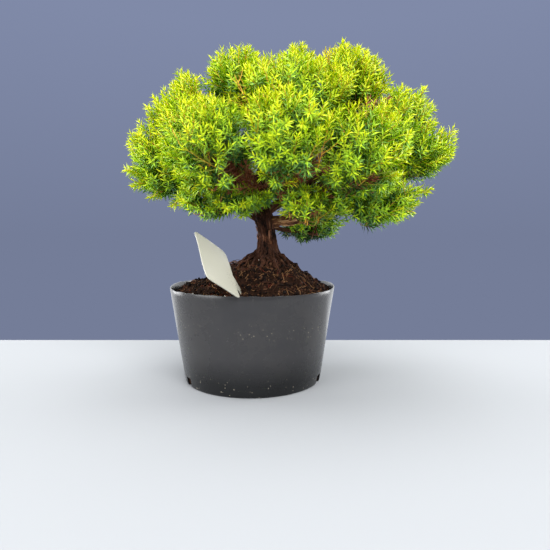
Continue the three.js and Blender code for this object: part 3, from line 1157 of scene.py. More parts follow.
def barked(path: Array, body: Array, depth: Array, sides: int, coarse: float, seed: int) -> Shape:
    """A closed round limb with bark relief.

    Args:
        path: Centre points, one row each.
        body: The radius at each centre point, as a column, or at each side of each one.
        depth: How deep the cracks are at each centre point, as a column.
        sides: How many corners go round.
        coarse: How many plates of bark go round.
        seed: Picks the pattern.

    Returns:
        Corner places, triangles, and a pattern place for each corner.
    """
    turn = np.tile(turns(sides), (len(path), 1))
    along = np.repeat(distance_along(path)[:, None], sides, 1)
    return tube(path, body + furrows(turn, along, coarse, seed) * depth, sides)


@dataclass(frozen=True)
class Limb:
    """One main bough: how high it leaves the trunk, where it runs, and how thick it is, in millimetres."""

    height: float
    azimuth: float
    reach: float
    rise: float
    lift: float
    swing: float
    radius: float

    def path(self, start: Array, count: int) -> Array:
        """The bough's centre line.

        Args:
            start: Its start on the trunk.
            count: How many points to return.

        Returns:
            The points, in metres.
        """
        share = np.linspace(0, 1, count)[:, None]
        heading, left = compass(self.azimuth), compass(self.azimuth + 90)
        line = heading * self.reach * share + left * self.swing * np.sin(1.3 * math.pi * share)
        return start + MM * (line + UP * self.rise * share**self.lift)


LIMBS = {
    "right": Limb(170, -8, 132, 44, 1.9, 5, 6.4),
    "left": Limb(176, 173, 102, 40, 0.8, 4, 5.4),
    "left_front": Limb(182, -128, 84, 56, 1.2, 11, 4.2),
    "front": Limb(184, -76, 92, 52, 0.9, -6, 4.2),
    "front_right": Limb(178, -38, 112, 56, 0.9, 6, 4.8),
    "right_upper": Limb(216, -6, 140, 66, 0.8, -9, 4.8),
    "left_upper": Limb(210, 178, 78, 62, 0.9, -5, 4.2),
    "top_left": Limb(250, 170, 46, 66, 1.3, 4, 3.4),
    "top_right": Limb(262, 4, 74, 54, 1.1, 6, 3.6),
    "back_left": Limb(188, 122, 104, 50, 0.9, 8, 4.8),
    "back": Limb(198, 78, 98, 44, 0.9, -6, 4.4),
    "back_right": Limb(180, 36, 132, 54, 0.9, -8, 5),
    "low": Limb(168, 31, 72, -12, 0.7, 4, 3.2),
    "stub": Limb(168, 196, 21, 10, 1, 0, 3.8),
}


@dataclass
class Frame:
    """The wood that the crown hangs on: the leaning trunk with its root flare, and the main boughs."""

    route: tuple[Place, ...] = (
        (15, 0, 118), (15, 0, 136), (15, 0, 152), (13, -1, 172),
        (7, 4, 200), (15, 8, 235), (32, 6, 268), (38, 4, 300),
    )
    neck: float = 9.6 * MM
    tip: float = 2.4 * MM
    flare: float = 6.4 * MM
    flare_rise: float = 8 * MM
    fork: float = 46 * MM
    swell: float = 1.9 * MM
    swell_rise: float = 11 * MM
    sunk: float = 5 * MM
    ground: float = 129 * MM
    taper: float = 0.42
    strips: int = 84
    strips_on_bough: int = 46
    rootlets: int = 64
    left_rootlets: int = 16
    roots: tuple[Place, ...] = (
        (212, 34, 2.4), (232, 22, 2.0), (258, 24, 2.6), (272, 18, 2.1), (286, 25, 2.4), (306, 20, 1.9),
        (332, 22, 2.1), (4, 26, 2.3), (38, 20, 2.0), (76, 22, 2.2), (112, 20, 1.9), (150, 24, 2.1),
        (190, 22, 1.8),
    )

    def __post_init__(self) -> None:
        """Works out the trunk's centre line."""
        self.line = smooth_path(np.array(self.route) * MM, 400)

    def at(self, height: float) -> Array:
        """The point of the trunk's centre line at a height in metres."""
        return self.line[np.argmin(np.abs(self.line[:, 2] - height))]

    def bark(self) -> Material:
        """The dark furrowed bark of the trunk."""
        finish = BarkFinish("trunk_bark", srgb(13, 6, 4), srgb(76, 46, 32), srgb(142, 92, 62))
        return bpy.data.materials.get(finish.name) or finish.material()

    def build_trunk(self) -> None:
        """Models the trunk with its flare and furrows."""
        rings, sides = 250, 150
        full = smooth_path(np.array(self.route) * MM, 900)
        path = smooth_path(full[full[:, 2] >= self.ground - self.sunk][::12], rings)
        height = distance_along(path) - self.sunk
        leader = height[-1] - self.fork
        body = self.neck + (self.tip - self.neck) * np.clip((height - self.fork) / leader, 0, 1)
        body = body + self.swell * np.exp(-(((height - self.fork) / self.swell_rise) ** 2))
        turn = np.tile(turns(sides), (rings, 1))
        lobes = 1 + 0.45 * np.cos(5 * turn + 0.6) + 0.3 * np.sin(3 * turn)
        flare = self.flare * lobes * np.exp(-np.maximum(height, 0) / self.flare_rise)[:, None]
        depth = (0.13 * body + 0.3 * MM)[:, None]
        points, triangles, pattern = barked(path, body[:, None] + flare, depth, sides, 9, 31)
        trunk = joined("trunk_bark", points, triangles, None, pattern, True)
        dress(trunk, self.bark())
        settle(trunk, "bark", "trunk")

    def build_bough(self, name: str, limb: Limb, finish: Material) -> None:
        """Models one bough with its bark.

        Args:
            name: The bough's name.
            limb: How it runs.
            finish: Its bark.
        """
        sides = 44 if name == "right" else 28
        path = limb.path(self.at(limb.height * MM), 90)
        rings = max(24, int(distance_along(path)[-1] / (1.4 * MM)))
        path = smooth_path(path[::6], rings)
        along = distance_along(path)
        body = limb.radius * MM * (1 + (self.taper - 1) * along / along[-1])
        body = body * (1.05 if name == "stub" else 1.0)
        seed = 40 + 3 * list(LIMBS).index(name)
        depth = (0.10 * body + 0.18 * MM)[:, None]
        points, triangles, pattern = barked(path, body[:, None], depth, sides, 6, seed)
        bough = joined(f"bough_{name}_bark", points, triangles, None, pattern, True)
        dress(bough, finish)
        settle(bough, "bough_bark", f"bough_{name}")

    def lay_root(self, heap: Heap, compost: Compost, azimuth: float, reach: float, radius: float,
                 high: float, random: Random) -> None:
        """Lays one root from the trunk's flare down to the heap and along it.

        Args:
            heap: Where the root's shape goes.
            compost: The heap that it lies on.
            azimuth: The way it leaves the trunk, in degrees.
            reach: How far it runs, in millimetres.
            radius: Its thickness at the trunk, in millimetres.
            high: How high above the ground it leaves the trunk, in millimetres.
            random: The random numbers to use.
        """
        knots = 12
        share = np.linspace(0, 1, knots)
        leave = 1e3 * self.neck - 1 + 1e3 * self.flare * math.exp(-high * MM / self.flare_rise)
        sway = azimuth + np.degrees(np.cumsum(random.normal(0, 0.05, knots)))
        line = np.array([compass(angle) * (leave + reach * part) for angle, part in zip(sway, share)]) * MM
        line += self.at(self.ground) * [1, 1, 0]
        thick = radius * MM * (1 - 0.72 * share)
        ground = np.array([compost.height_at(x, y) for x, y, _ in line])
        fall = max(self.ground + high * MM - ground[0], 0.0) * (1 - share) ** 1.7
        line[:, 2] = ground + fall + thick * (0.5 - 1.1 * share**4)
        rings, sides = (60, 16) if radius > 1.4 else (24, 7)
        path = smooth_path(line, rings)
        body = np.interp(np.linspace(0, 1, rings), share, thick)[:, None]
        points, triangles, pattern = barked(path, body, 0.16 * body, sides, 4, int(abs(azimuth)))
        heap.add(points, triangles, 0, pattern)

    def build_roots(self, compost: Compost) -> None:
        """Models the roots that leave the flare and run down the heap, the thick ones half sunk in it.

        Args:
            compost: The heap that they lie on.
        """
        random = np.random.default_rng(51)
        heap = Heap()
        for azimuth, reach, radius in self.roots:
            self.lay_root(heap, compost, azimuth, reach, radius, 3.0, random)
        for index in range(self.rootlets):
            left = index < self.left_rootlets
            azimuth = random.normal(186, 14) if left else random.uniform(-180, 180)
            reach = random.uniform(20, 36) if left else random.uniform(9, 26)
            radius, high = random.uniform(0.45, 1.15), random.uniform(1, 12)
            self.lay_root(heap, compost, azimuth, reach, radius, high, random)
        roots = heap.build("surface_roots", smooth=True)
        dress(roots, self.bark())
        settle(roots, "bark")

    def build_peelings(self) -> None:
        """Models the dry strips of bark that lift from the trunk and from the lowest bough."""
        random = np.random.default_rng(52)
        heap = Heap()
        limb = LIMBS["right"]
        bough = limb.path(self.at(limb.height * MM), 200)
        trunk = self.line[(self.line[:, 2] > 0.135) & (self.line[:, 2] < 0.178)]
        knots, sides = 9, 6
        for index in range(self.strips):
            on_bough = index < self.strips_on_bough
            line = bough[: int(0.62 * len(bough))] if on_bough else trunk
            span = int(len(line) * random.uniform(0.10, 0.24))
            first = int(random.integers(0, len(line) - span))
            path = smooth_path(line[first: first + span: max(1, span // 5)], knots)
            ahead = unit(path[-1] - path[0])
            out = unit(np.cross(ahead, random.normal(size=3)))
            radius = limb.radius * MM * (1 - 0.5 * first / len(bough)) if on_bough else self.neck
            lift = random.uniform(0.2, 1.6) * MM * np.linspace(-0.6, 1, knots) ** 2 + 0.15 * MM
            path = path + out * (radius + lift)[:, None]
            wide = random.uniform(0.5, 1.1) * MM * np.sin(np.linspace(0.35, math.pi - 0.35, knots))
            flat = np.abs(np.cos(turns(sides) + random.uniform(0, math.pi)))
            points, triangles, _ = tube(path, 0.16 * MM + wide[:, None] * flat, sides)
            tone = int(random.integers(0, 3)) if on_bough else int(random.choice([0, 3, 3]))
            heap.add(points, triangles, tone)
        strips = heap.build("bark_strips", smooth=True)
        tones = (srgb(122, 78, 52), srgb(176, 128, 84), srgb(204, 160, 110), srgb(74, 46, 34))
        dress(strips, *plain_set("strip", tones, 0.85))
        settle(strips, "bough_bark")

    def build(self, compost: Compost) -> None:
        """Models all the wood.

        Args:
            compost: The heap that the roots lie on.
        """
        self.build_trunk()
        self.build_roots(compost)
        self.build_peelings()
        brown = BarkFinish("bough_bark", srgb(48, 28, 20), srgb(112, 74, 52), srgb(160, 112, 74))
        peeling = BarkFinish("peeling_bark", srgb(52, 30, 22), srgb(118, 76, 52), srgb(196, 148, 98), 0.49)
        plain, lowest = brown.material(), peeling.material()
        for name, limb in LIMBS.items():
            self.build_bough(name, limb, lowest if name == "right" else plain)


# ---- Crown ---------------------------------------------------------------------------------------

NEEDLE = np.array([[0, 1, 2], [1, 3, 2], [0, 3, 1], [0, 2, 3]])
FACE = np.array([1, 1, 0, 0])


@dataclass
class Needles:
    """Needles gathered for one joined mesh, each a keeled blade of four faces in its own outline."""

    bases: list[Array] = field(default_factory=list)
    ways: list[Array] = field(default_factory=list)
    ups: list[Array] = field(default_factory=list)
    sizes: list[Array] = field(default_factory=list)
    tones: list[Array] = field(default_factory=list)

    def add(self, bases: Array, ways: Array, ups: Array, sizes: Array, tones: Array) -> None:
        """Adds needles.

        Args:
            bases: Where each joins its shoot.
            ways: Which way each points.
            ups: Which way each upper face looks.
            sizes: Each needle's length and width.
            tones: Each needle's tone, as a place in Tone.
        """
        stores = (self.bases, self.ways, self.ups, self.sizes, self.tones)
        for store, values in zip(stores, (bases, ways, ups, sizes, tones)):
            store.append(values)

    def build(self, name: str) -> Piece:
        """Makes the needles one piece in all their tones.

        Args:
            name: The piece's name.

        Returns:
            The new object.
        """
        stores = (self.bases, self.ways, self.ups, self.sizes, self.tones)
        bases, ways, ups, sizes, tones = (np.concatenate(store) for store in stores)
        long, wide = sizes[:, :1], sizes[:, 1:]
        side = np.cross(ways, ups) * wide / 2
        belly = bases + ways * long * 0.4 + ups * wide * 0.3
        tip = bases + ways * long
        points = np.stack([bases, belly + side, belly - side, tip], 1).reshape(-1, 3)
        triangles = (np.arange(len(bases))[:, None, None] * 4 + NEEDLE).reshape(-1, 3)
        piece = joined(name, points, triangles, (2 * tones[:, None] + FACE).ravel())
        dress(piece, *Tone.materials())
        return piece


@dataclass(frozen=True)
class Spray:
    """One leafy spray: where its tip comes, which way it grows, its length, and its light value, which sets
    its tone and holds painted shade.
    """

    tip: Array
    way: Array
    length: float
    light: float
    dead: bool = False

    @property
    def foot(self) -> Array:
        """Where the spray leaves its twig."""
        return self.tip - (self.way + 0.1 * UP) * self.length


@dataclass
class Cluster:
    """The twigs and needles of one mass of foliage, grown from the end of its bough."""

    name: str
    seed: int
    openings: Array
    heart: Array
    stray: Callable[[Array], float]
    pitch: float = 2.0 * MM
    needle: float = 8.8 * MM
    width: float = 1.6 * MM
    needles: Needles = field(default_factory=Needles)
    twigs: Heap = field(default_factory=Heap)

    def __post_init__(self) -> None:
        """Starts the cluster's own random numbers."""
        self.random = np.random.default_rng(self.seed)

    def tone_of(self, light: float, share: Array) -> Array:
        """The tone of each needle of a shoot, golden only in the fullest light, and brighter to its tip:
        partly young growth, partly painted shade on the shoot's base.
        """
        steps = light * 4.8 + 3.4 * (share - 0.78) + self.random.normal(0, 0.3, len(share))
        return np.clip(np.round(steps), 0, 5 if light > 0.97 else 4).astype(int)

    def in_opening(self, points: Array) -> Array:
        """Whether each point is in front of one of the crown's openings, seen from outside.

        Args:
            points: The points, one row each.

        Returns:
            True or False for each.
        """
        found = np.full(len(points), False)
        for gap in self.openings:
            out = unit(gap[:3] - self.heart)
            apart = points - gap[:3]
            along = np.maximum(apart @ out, 0)[:, None]
            found |= np.linalg.norm(apart - along * out, axis=1) < gap[3]
        return found

    def shoot(self, start: Array, way: Array, length: float, lift: Array, light: float, dead: bool) -> None:
        """Grows one leafy shoot: a stem with whorls of three needles that close up to a pointed tip.

        Args:
            start: Where it starts.
            way: The way it sets out.
            length: Its length.
            lift: How its tip bends away, as a share of its length.
            light: How bright its tone is, 0 to 1: golden growth in full light, and painted shade where it is
                low.
            dead: Whether it is brown and dry.
        """
        count = max(4, int(length / self.pitch))
        leaves = 3 * count
        share = np.repeat((np.arange(count) + 0.5) / count, 3)
        along = share[:, None]
        bases = start + length * (way * along + lift * along**2)
        heading = unit(way + 2 * lift * along)
        side = unit(np.cross(heading, self.random.normal(size=3)))
        third = np.cross(heading, side)
        whorl, leaf = np.divmod(np.arange(leaves), 3)
        spin = leaf * 2 * math.pi / 3 + (whorl % 2) * math.pi / 3 + self.random.normal(0, 0.22, leaves)
        opening = np.interp(share, [0, 0.6, 0.88, 1], [70, 60, 48, 26])
        open_by = np.radians(opening + self.random.normal(0, 6, leaves))[:, None]
        out = side * np.cos(spin)[:, None] + third * np.sin(spin)[:, None]
        ways = heading * np.cos(open_by) + out * np.sin(open_by)
        ups = heading * np.sin(open_by) - out * np.cos(open_by)
        long = self.needle * np.interp(share, [0, 0.15, 0.75, 1], [0.8, 1, 0.95, 0.78])
        long = long * self.random.uniform(0.85, 1.12, leaves)
        wide = np.full(leaves, self.width * (0.75 if dead else 1))
        tones = np.full(leaves, 6) if dead else self.tone_of(light, share)
        kept = np.full(leaves, True) if dead else ~self.in_opening(bases + 0.5 * self.needle * ways)
        if kept.any():
            sizes = np.stack([long, wide], 1)
            self.needles.add(bases[kept], ways[kept], ups[kept], sizes[kept], tones[kept])
        steps = np.linspace(0, 1, 4)[:, None]
        path = start + length * (way * steps + lift * steps**2)
        # Stem colour follows the light value: golden young stems in full light, and browner stems where that
        # value holds painted shade.
        wood = Wood.BROWN if dead or light < 0.3 else (Wood.GREEN if light < 0.62 else Wood.GOLDEN)
        points, triangles, pattern = tube(path, np.linspace(0.55, 0.25, 4) * MM, 3)
        self.twigs.add(points, triangles, wood.slot, pattern)

    def grow(self, spray: Spray) -> None:
        """Grows a whole spray: a leading shoot and the side shoots that fan out from it.

        Args:
            spray: The spray to grow.
        """
        random = self.random
        way, length = spray.way, spray.length
        foot = spray.foot
        lift = 0.1 * UP
        self.shoot(foot, way, length, lift, spray.light, spray.dead)
        side = unit(np.cross(way, random.normal(size=3)))
        third = np.cross(way, side)
        count = int(random.integers(5, 7)) if length > 26 * MM else 3
        count = 2 if spray.dead else count
        spin = random.uniform(0, 2 * math.pi)
        for index in range(count):
            share = 0.14 + 0.70 * (index + random.uniform(0, 0.6)) / count
            spin += GOLDEN_ANGLE + random.normal(0, 0.25)
            lean = math.radians(random.normal(42, 6))
            out = side * math.cos(spin) + third * math.sin(spin)
            aside = unit(way * math.cos(lean) + out * math.sin(lean))
            start = foot + length * (way * share + lift * share**2)
            aside[2] = max(aside[2], -0.3)
            reach = (1 - share) * length * random.uniform(0.5, 0.7) + 7 * MM
            bend = way * 0.22 + UP * 0.06
            while reach > 8 * MM and self.stray(start + (aside + bend) * (reach + 4 * MM)) > 2 * MM:
                reach -= 2 * MM
            # Side shoots that leave lower on the spray get a lower light value: painted shade.
            self.shoot(start, aside, reach, bend, spray.light - 0.2 * (1 - share), spray.dead)

    def branch(self, start: Array, heading: Array, sprays: list[Spray]) -> None:
        """Grows a twig towards a group of sprays and splits it until each has its own.

        Args:
            start: Where the twig starts.
            heading: The way it sets out.
            sprays: The sprays that it feeds.
        """
        feet = np.array([spray.foot for spray in sprays])
        count = len(sprays)
        middle = feet.mean(0)
        if count == 1:
            end, toward = feet[0], sprays[0].way
        else:
            end = start + (middle - start) * 0.45 + self.random.normal(0, 1.0 * MM, 3)
            toward = unit(middle - start)
        apart = np.linalg.norm(end - start)
        share = np.linspace(0, 1, 7 if apart > 12 * MM else 4)[:, None]
        pull = 0.7 * apart
        path = (2 * share**3 - 3 * share**2 + 1) * start + (share**3 - 2 * share**2 + share) * pull * heading
        path = path + (3 * share**2 - 2 * share**3) * end + (share**3 - share**2) * pull * toward
        thick = 0.52 * MM * count**0.42
        radii = np.linspace(thick, thick * 0.86, len(path))
        wood = Wood.OLD if count > 5 else Wood.BROWN
        points, triangles, pattern = tube(path, radii, 7 if count > 5 else 5)
        self.twigs.add(points, triangles, wood.slot, pattern)
        if count > 1:
            spread = np.linalg.svd(feet - middle, full_matrices=False)[2][0]
            order = np.argsort((feet - middle) @ spread)
            cut = int(np.clip(round(count * self.random.uniform(0.38, 0.62)), 1, count - 1))
            for part in (order[:cut], order[cut:]):
                self.branch(end, toward, [sprays[i] for i in part])

    def build(self, tone: str) -> None:
        """Makes the cluster's two pieces.

        Args:
            tone: The end of the record's material slot for its foliage.
        """
        needles = self.needles.build(f"needles_{self.name}")
        settle(needles, f"foliage_{tone}", f"mass_{self.name}")
        twigs = self.twigs.build(f"twigs_{self.name}")
        dress(twigs, *Wood.materials())
        settle(twigs, "bough_bark")


@dataclass
class Crown:
    """The whole crown: spray tips dealt out over the masses, and each mass grown back to its bough."""

    wood: Frame
    masses: dict[str, Piece]
    layers: tuple[Place, ...] = (
        (1 * MM, 8 * MM, 17 * MM), (14 * MM, 30 * MM, 22 * MM), (34 * MM, 60 * MM, 25 * MM),
    )
    heart: Place = (30 * MM, 0.0, 200 * MM)
    tries: int = 700
    shortest: float = 16 * MM
    most_droop: float = -0.22
    golden_share: float = 0.06
    feeders: tuple[tuple[str, str, str], ...] = (
        ("low_left", "left", "shade"), ("upper_left", "left_upper", "lime"),
        ("top_left", "top_left", "lime"), ("top", "", "lime"), ("top_right", "top_right", "lime"),
        ("upper_right", "right_upper", "lime"), ("far_right", "right", "green"),
        ("low_right", "right", "shade"), ("low_middle", "right", "shade"),
        ("front_left", "left_front", "green"), ("low_front", "left_front", "shade"),
        ("front", "front", "green"), ("front_right", "front_right", "green"),
        ("front_top", "", "lime"), ("back_top", "", "lime"), ("back_left", "back_left", "green"),
        ("back", "back", "green"), ("back_right", "back_right", "green"), ("low_back", "low", "shade"),
    )
    openings: tuple[tuple[float, float, float, float], ...] = (
        (-36, -73, 239, 7), (-26, -62, 226, 9), (-12, -58, 212, 9), (8, -48, 206, 9), (98, -58, 262, 9),
        (108, -62, 268, 10), (124, -68, 276, 9), (98, -72, 204, 8), (50, -76, 214, 8), (62, -84, 223, 7),
        (-3, -45, 287, 8), (-3, -50, 273, 8), (35, -48, 289, 7), (111, -60, 252, 11), (-51, -60, 253, 8),
        (38, -24, 171, 8), (44, -38, 167, 15), (62, -44, 167, 15), (80, -46, 165, 13), (18, -44, 172, 8),
    )
    crests: Rows = (
        ("top_left", (-10, -4, 316), (-7, -6, 348)), ("top", (48, -2, 320), (52, -6, 352)),
        ("top_right", (92, -4, 322), (95, -8, 354)), ("top_right", (120, -4, 308), (127, -8, 338)),
        ("top_right", (124, -6, 294), (142, -10, 320)), ("upper_right", (166, -8, 278), (177, -10, 306)),
        ("upper_right", (166, -8, 262), (186, -12, 287)), ("far_right", (184, -4, 240), (212, -8, 262)),
        ("far_right", (184, -6, 236), (208, -12, 238)), ("low_right", (156, -14, 198), (185, -18, 203)),
        ("upper_left", (-63, -12, 288), (-71, -16, 321)), ("upper_left", (-88, -12, 260), (-106, -16, 284)),
        ("low_left", (-98, -8, 246), (-116, -12, 272)), ("low_left", (-102, -10, 240), (-125, -14, 260)),
        ("low_left", (-103, -10, 222), (-130, -14, 222)), ("low_left", (-98, -8, 216), (-125, -12, 207)),
        ("low_left", (-84, -10, 208), (-106, -14, 195)), ("low_left", (-66, -10, 200), (-84, -14, 186)),
    )
    low_shoots: Rows = (
        ("low_front", (0, -22, 184), (8, -48, 190)), ("low_front", (-14, -24, 182), (-12, -50, 194)),
        ("low_front", (14, -24, 188), (17, -50, 196)), ("low_middle", (36, -24, 186), (42, -50, 193)),
        ("low_middle", (46, -26, 190), (56, -52, 200)), ("low_middle", (44, -32, 202), (49, -58, 218)),
        ("low_front", (-2, -16, 188), (-9, -34, 175)), ("low_middle", (26, -28, 196), (27, -54, 208)),
        ("low_middle", (82, -30, 186), (92, -54, 190)), ("low_front", (-28, -28, 186), (-30, -52, 192)),
    )
    inner: Rows = (
        ("back_left", (-10, 34, 232), (-14, 16, 262)), ("back_left", (-4, 34, 238), (4, 14, 268)),
        ("back_left", (-20, 30, 214), (-24, 12, 240)), ("back_left", (-8, 30, 206), (-10, 14, 232)),
        ("back", (26, 34, 184), (16, 22, 208)), ("back", (36, 34, 190), (40, 20, 218)),
        ("back", (20, 36, 206), (18, 20, 236)), ("back_right", (66, 30, 200), (64, 14, 228)),
        ("back_right", (84, 30, 212), (86, 14, 242)), ("back_right", (96, 34, 232), (98, 16, 262)),
        ("upper_right", (84, -4, 250), (96, -28, 262)), ("upper_right", (84, 0, 250), (98, 22, 266)),
        ("upper_right", (100, -4, 262), (112, -30, 276)), ("upper_right", (100, 0, 262), (114, 26, 278)),
        ("upper_right", (90, -2, 256), (94, 2, 286)), ("upper_right", (92, -4, 248), (110, -22, 240)),
        ("upper_right", (92, 4, 248), (108, 24, 240)), ("upper_right", (110, 0, 262), (126, 6, 244)),
        ("upper_right", (96, -4, 246), (116, -14, 224)), ("upper_right", (96, 4, 246), (116, 10, 222)),
        ("far_right", (112, -12, 196), (130, 8, 212)), ("far_right", (104, -10, 192), (114, 16, 210)),
        ("far_right", (112, -14, 198), (134, -26, 218)), ("far_right", (96, -8, 188), (98, 12, 212)),
        ("low_back", (62, 40, 176), (72, 60, 196)), ("low_back", (66, 36, 178), (88, 44, 196)),
        ("low_back", (58, 40, 178), (50, 62, 198)), ("low_back", (62, 38, 180), (64, 36, 208)),
        ("back", (30, 34, 200), (14, 44, 226)), ("back", (34, 28, 204), (28, 30, 236)),
        ("back_left", (-12, 30, 204), (-34, 22, 214)), ("back_left", (-12, 24, 202), (-24, 6, 218)),
        ("back", (24, 30, 214), (8, 36, 238)), ("back_left", (-16, 22, 218), (-30, 6, 236)),
    )
    dead: Rows = (
        ("front_left", (14, -44, 203), (-12, -62, 211)), ("front_left", (-10, -56, 208), (-37, -74, 240)),
        ("front_left", (2, -40, 203), (-18, -66, 222)), ("front_right", (92, -52, 258), (125, -74, 278)),
        ("front_right", (96, -50, 262), (112, -76, 266)), ("front_right", (84, -62, 203), (113, -86, 205)),
        ("front", (38, -72, 205), (64, -94, 225)), ("front", (46, -60, 208), (52, -88, 212)),
        ("low_middle", (60, -36, 198), (61, -47, 178)), ("low_middle", (50, -30, 200), (42, -44, 188)),
        ("low_front", (8, -26, 192), (16, -48, 205)), ("low_middle", (30, -26, 194), (36, -50, 207)),
        ("low_middle", (62, -30, 194), (76, -52, 202)), ("low_front", (-6, -28, 192), (-16, -52, 206)),
    )

    def solids(self) -> dict[str, BVHTree]:
        """A search tree for each mass's solid.

        Returns:
            The trees, by the name of the mass's node.
        """
        made = {}
        for name, node in self.masses.items():
            corners = [vertex.co for vertex in node.data.vertices]
            made[name] = BVHTree.FromPolygons(corners, [face.vertices[:] for face in node.data.polygons])
        return made

    @staticmethod
    def beyond(tree: BVHTree, point: Array) -> float:
        """How far outside a solid a point is, or less than zero inside it."""
        near, normal, _, apart = tree.find_nearest(Vector(point))
        return apart if (Vector(point) - near).dot(normal) > 0 else -apart

    def stray(self, point: Array) -> float:
        """How far outside the whole crown a point is, or less than zero inside it."""
        return min(self.beyond(tree, point) for tree in self.trees.values())

    def sample(self, node: Piece, count: int, random: Random) -> tuple[Array, Array]:
        """Picks random places on a mass's surface, evenly by area.

        Args:
            node: The mass's solid.
            count: How many places to pick.
            random: The random numbers to use.

        Returns:
            The places and the surface's outward direction at each.
        """
        places = corners_of(node)
        node.data.calc_loop_triangles()
        triangles = np.array([triangle.vertices[:] for triangle in node.data.loop_triangles])
        a, b, c = (places[triangles[:, i]] for i in range(3))
        normals = np.cross(b - a, c - a)
        area = np.linalg.norm(normals, axis=1)
        chosen = random.choice(len(area), count, p=area / area.sum())
        u, v = random.uniform(size=(2, count, 1))
        flip = u + v > 1
        u, v = np.where(flip, 1 - u, u), np.where(flip, 1 - v, v)
        return a[chosen] + u * (b - a)[chosen] + v * (c - a)[chosen], unit(normals[chosen])

    @staticmethod
    def light_at(point: Array, way: Array, depth: float) -> float:
        """How bright a spray's tone is: partly its own colour, golden in full light, and partly painted
        shade, lower towards the crown's foot, under it, towards its middle, deeper inside it and on sprays
        that do not face up.

        Args:
            point: Where its tip is.
            way: The way it faces.
            depth: How deep inside the crown it is, in metres.

        Returns:
            About 0 to 1.
        """
        high = float(np.clip((point[2] - 0.180) / 0.150, 0, 1))
        out = float(np.clip(np.hypot(point[0] - 0.035, point[1]) / 0.13, 0, 1))
        under = float(np.clip((0.182 - point[2]) / 0.02, 0, 1))
        return 0.57 + 0.15 * high - 0.21 * under + 0.05 * out + 0.14 * max(0.0, float(way[2])) - 15 * depth

    def deal(self) -> dict[str, list[Spray]]:
        """Deals out the sprays of the outer shell and of the two layers inside it, evenly over all masses.

        Returns:
            The sprays of each mass, by its node's name.
        """
        random = np.random.default_rng(61)
        self.trees = trees = self.solids()
        dealt = {name: [] for name in self.masses}
        heart = np.array(self.heart)
        gaps = np.array(self.openings) * MM
        for depth_low, depth_high, spacing in self.layers:
            rows = []
            for name, node in self.masses.items():
                places, normals = self.sample(node, self.tries, random)
                rows += [(name, place, normal) for place, normal in zip(places, normals)]
            random.shuffle(rows)
            taken = np.empty((0, 3))
            for name, place, normal in rows:
                depth = random.uniform(depth_low, depth_high)
                tip = place - normal * depth
                if self.beyond(trees[name], tip) > -0.8 * depth_low:
                    continue
                if len(taken) and np.min(np.linalg.norm(taken - tip, axis=1)) < spacing:
                    continue
                if np.min(np.linalg.norm(gaps[:, :3] - tip, axis=1) - gaps[:, 3]) < 0:
                    continue
                if normal[2] < -0.6 and random.random() < 0.5:
                    continue
                ahead = place + normal * 5 * MM
                if any(self.beyond(tree, ahead) < 0 for other, tree in trees.items() if other != name):
                    continue
                radial = unit(tip - heart)
                way = unit(0.6 * normal + 0.4 * radial + 0.5 * UP + 0.15 * random.normal(size=3))
                way[2] = max(way[2], self.most_droop)
                way = unit(way)
                light = self.light_at(tip, way, depth) + random.normal(0, 0.09)
                hit = trees[name].ray_cast(Vector(tip - 1 * MM * way), Vector(-way))[3]
                if hit is None or hit < self.shortest:
                    continue
                full = random.uniform(34, 46) * MM * (1.0 if depth_low < 10 * MM else 0.85)
                length = min(full, 0.85 * hit)
                taken = np.vstack([taken, tip])
                golden = light > 0.7 and random.random() < self.golden_share
                light = 1.15 if golden else min(light, 0.92)
                dealt[name].append(Spray(tip, way, length, max(light, 0.0)))
        return dealt

    def start_of(self, feeder: str, mass: str) -> tuple[Array, Array]:
        """Where a mass's twigs start: the end of its bough, or a point on the leader.

        Args:
            feeder: The bough's name, or nothing for the leader.
            mass: The mass's name.

        Returns:
            The place, and the way the twigs set out.
        """
        if not feeder:
            height = 0.298 if mass == "top" else 0.272
            return self.wood.at(height), unit(self.wood.at(height) - self.wood.at(height - 0.01))
        limb = LIMBS[feeder]
        path = limb.path(self.wood.at(limb.height * MM), 60)
        lo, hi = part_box(f"mass_{mass}")
        middle = (np.array(lo) + np.array(hi)) / 2
        near = min(int(np.argmin(np.linalg.norm(path - middle, axis=1))), len(path) - 2)
        return path[near], unit(path[near + 1] - path[near])

    def placed_by_hand(self, name: str) -> list[Spray]:
        """The sprays that stand in set places in one mass.

        Args:
            name: The mass's name.

        Returns:
            Its dry shoots, then the shoots that close its inside, its underside and its outline.
        """
        # The inside and underside shoots get low light values: painted shade.
        lists = ((self.dead, 0.2), (self.inner, 0.34), (self.low_shoots, 0.5), (self.crests, 0.85))
        sprays = []
        for rows, light in lists:
            for mass, foot, tip in rows:
                if mass == name:
                    run = (np.array(tip) - np.array(foot)) * MM
                    length = float(np.linalg.norm(run))
                    way = unit(run - 0.1 * length * UP)
                    sprays.append(Spray(np.array(tip) * MM, way, length, light, rows is self.dead))
        return sprays

    def build(self) -> None:
        """Grows every cluster."""
        dealt = self.deal()
        log.info("sprays: %d", sum(len(sprays) for sprays in dealt.values()))
        gaps = np.array(self.openings) * MM
        for index, (name, feeder, tone) in enumerate(self.feeders):
            cluster = Cluster(name, 100 + index, gaps, np.array(self.heart), self.stray)
            sprays = dealt[f"mass_{name}"] + self.placed_by_hand(name)
            cluster.branch(*self.start_of(feeder, name), sprays)
            for spray in sprays:
                cluster.grow(spray)
            cluster.build(tone)


# ---- Stage ---------------------------------------------------------------------------------------


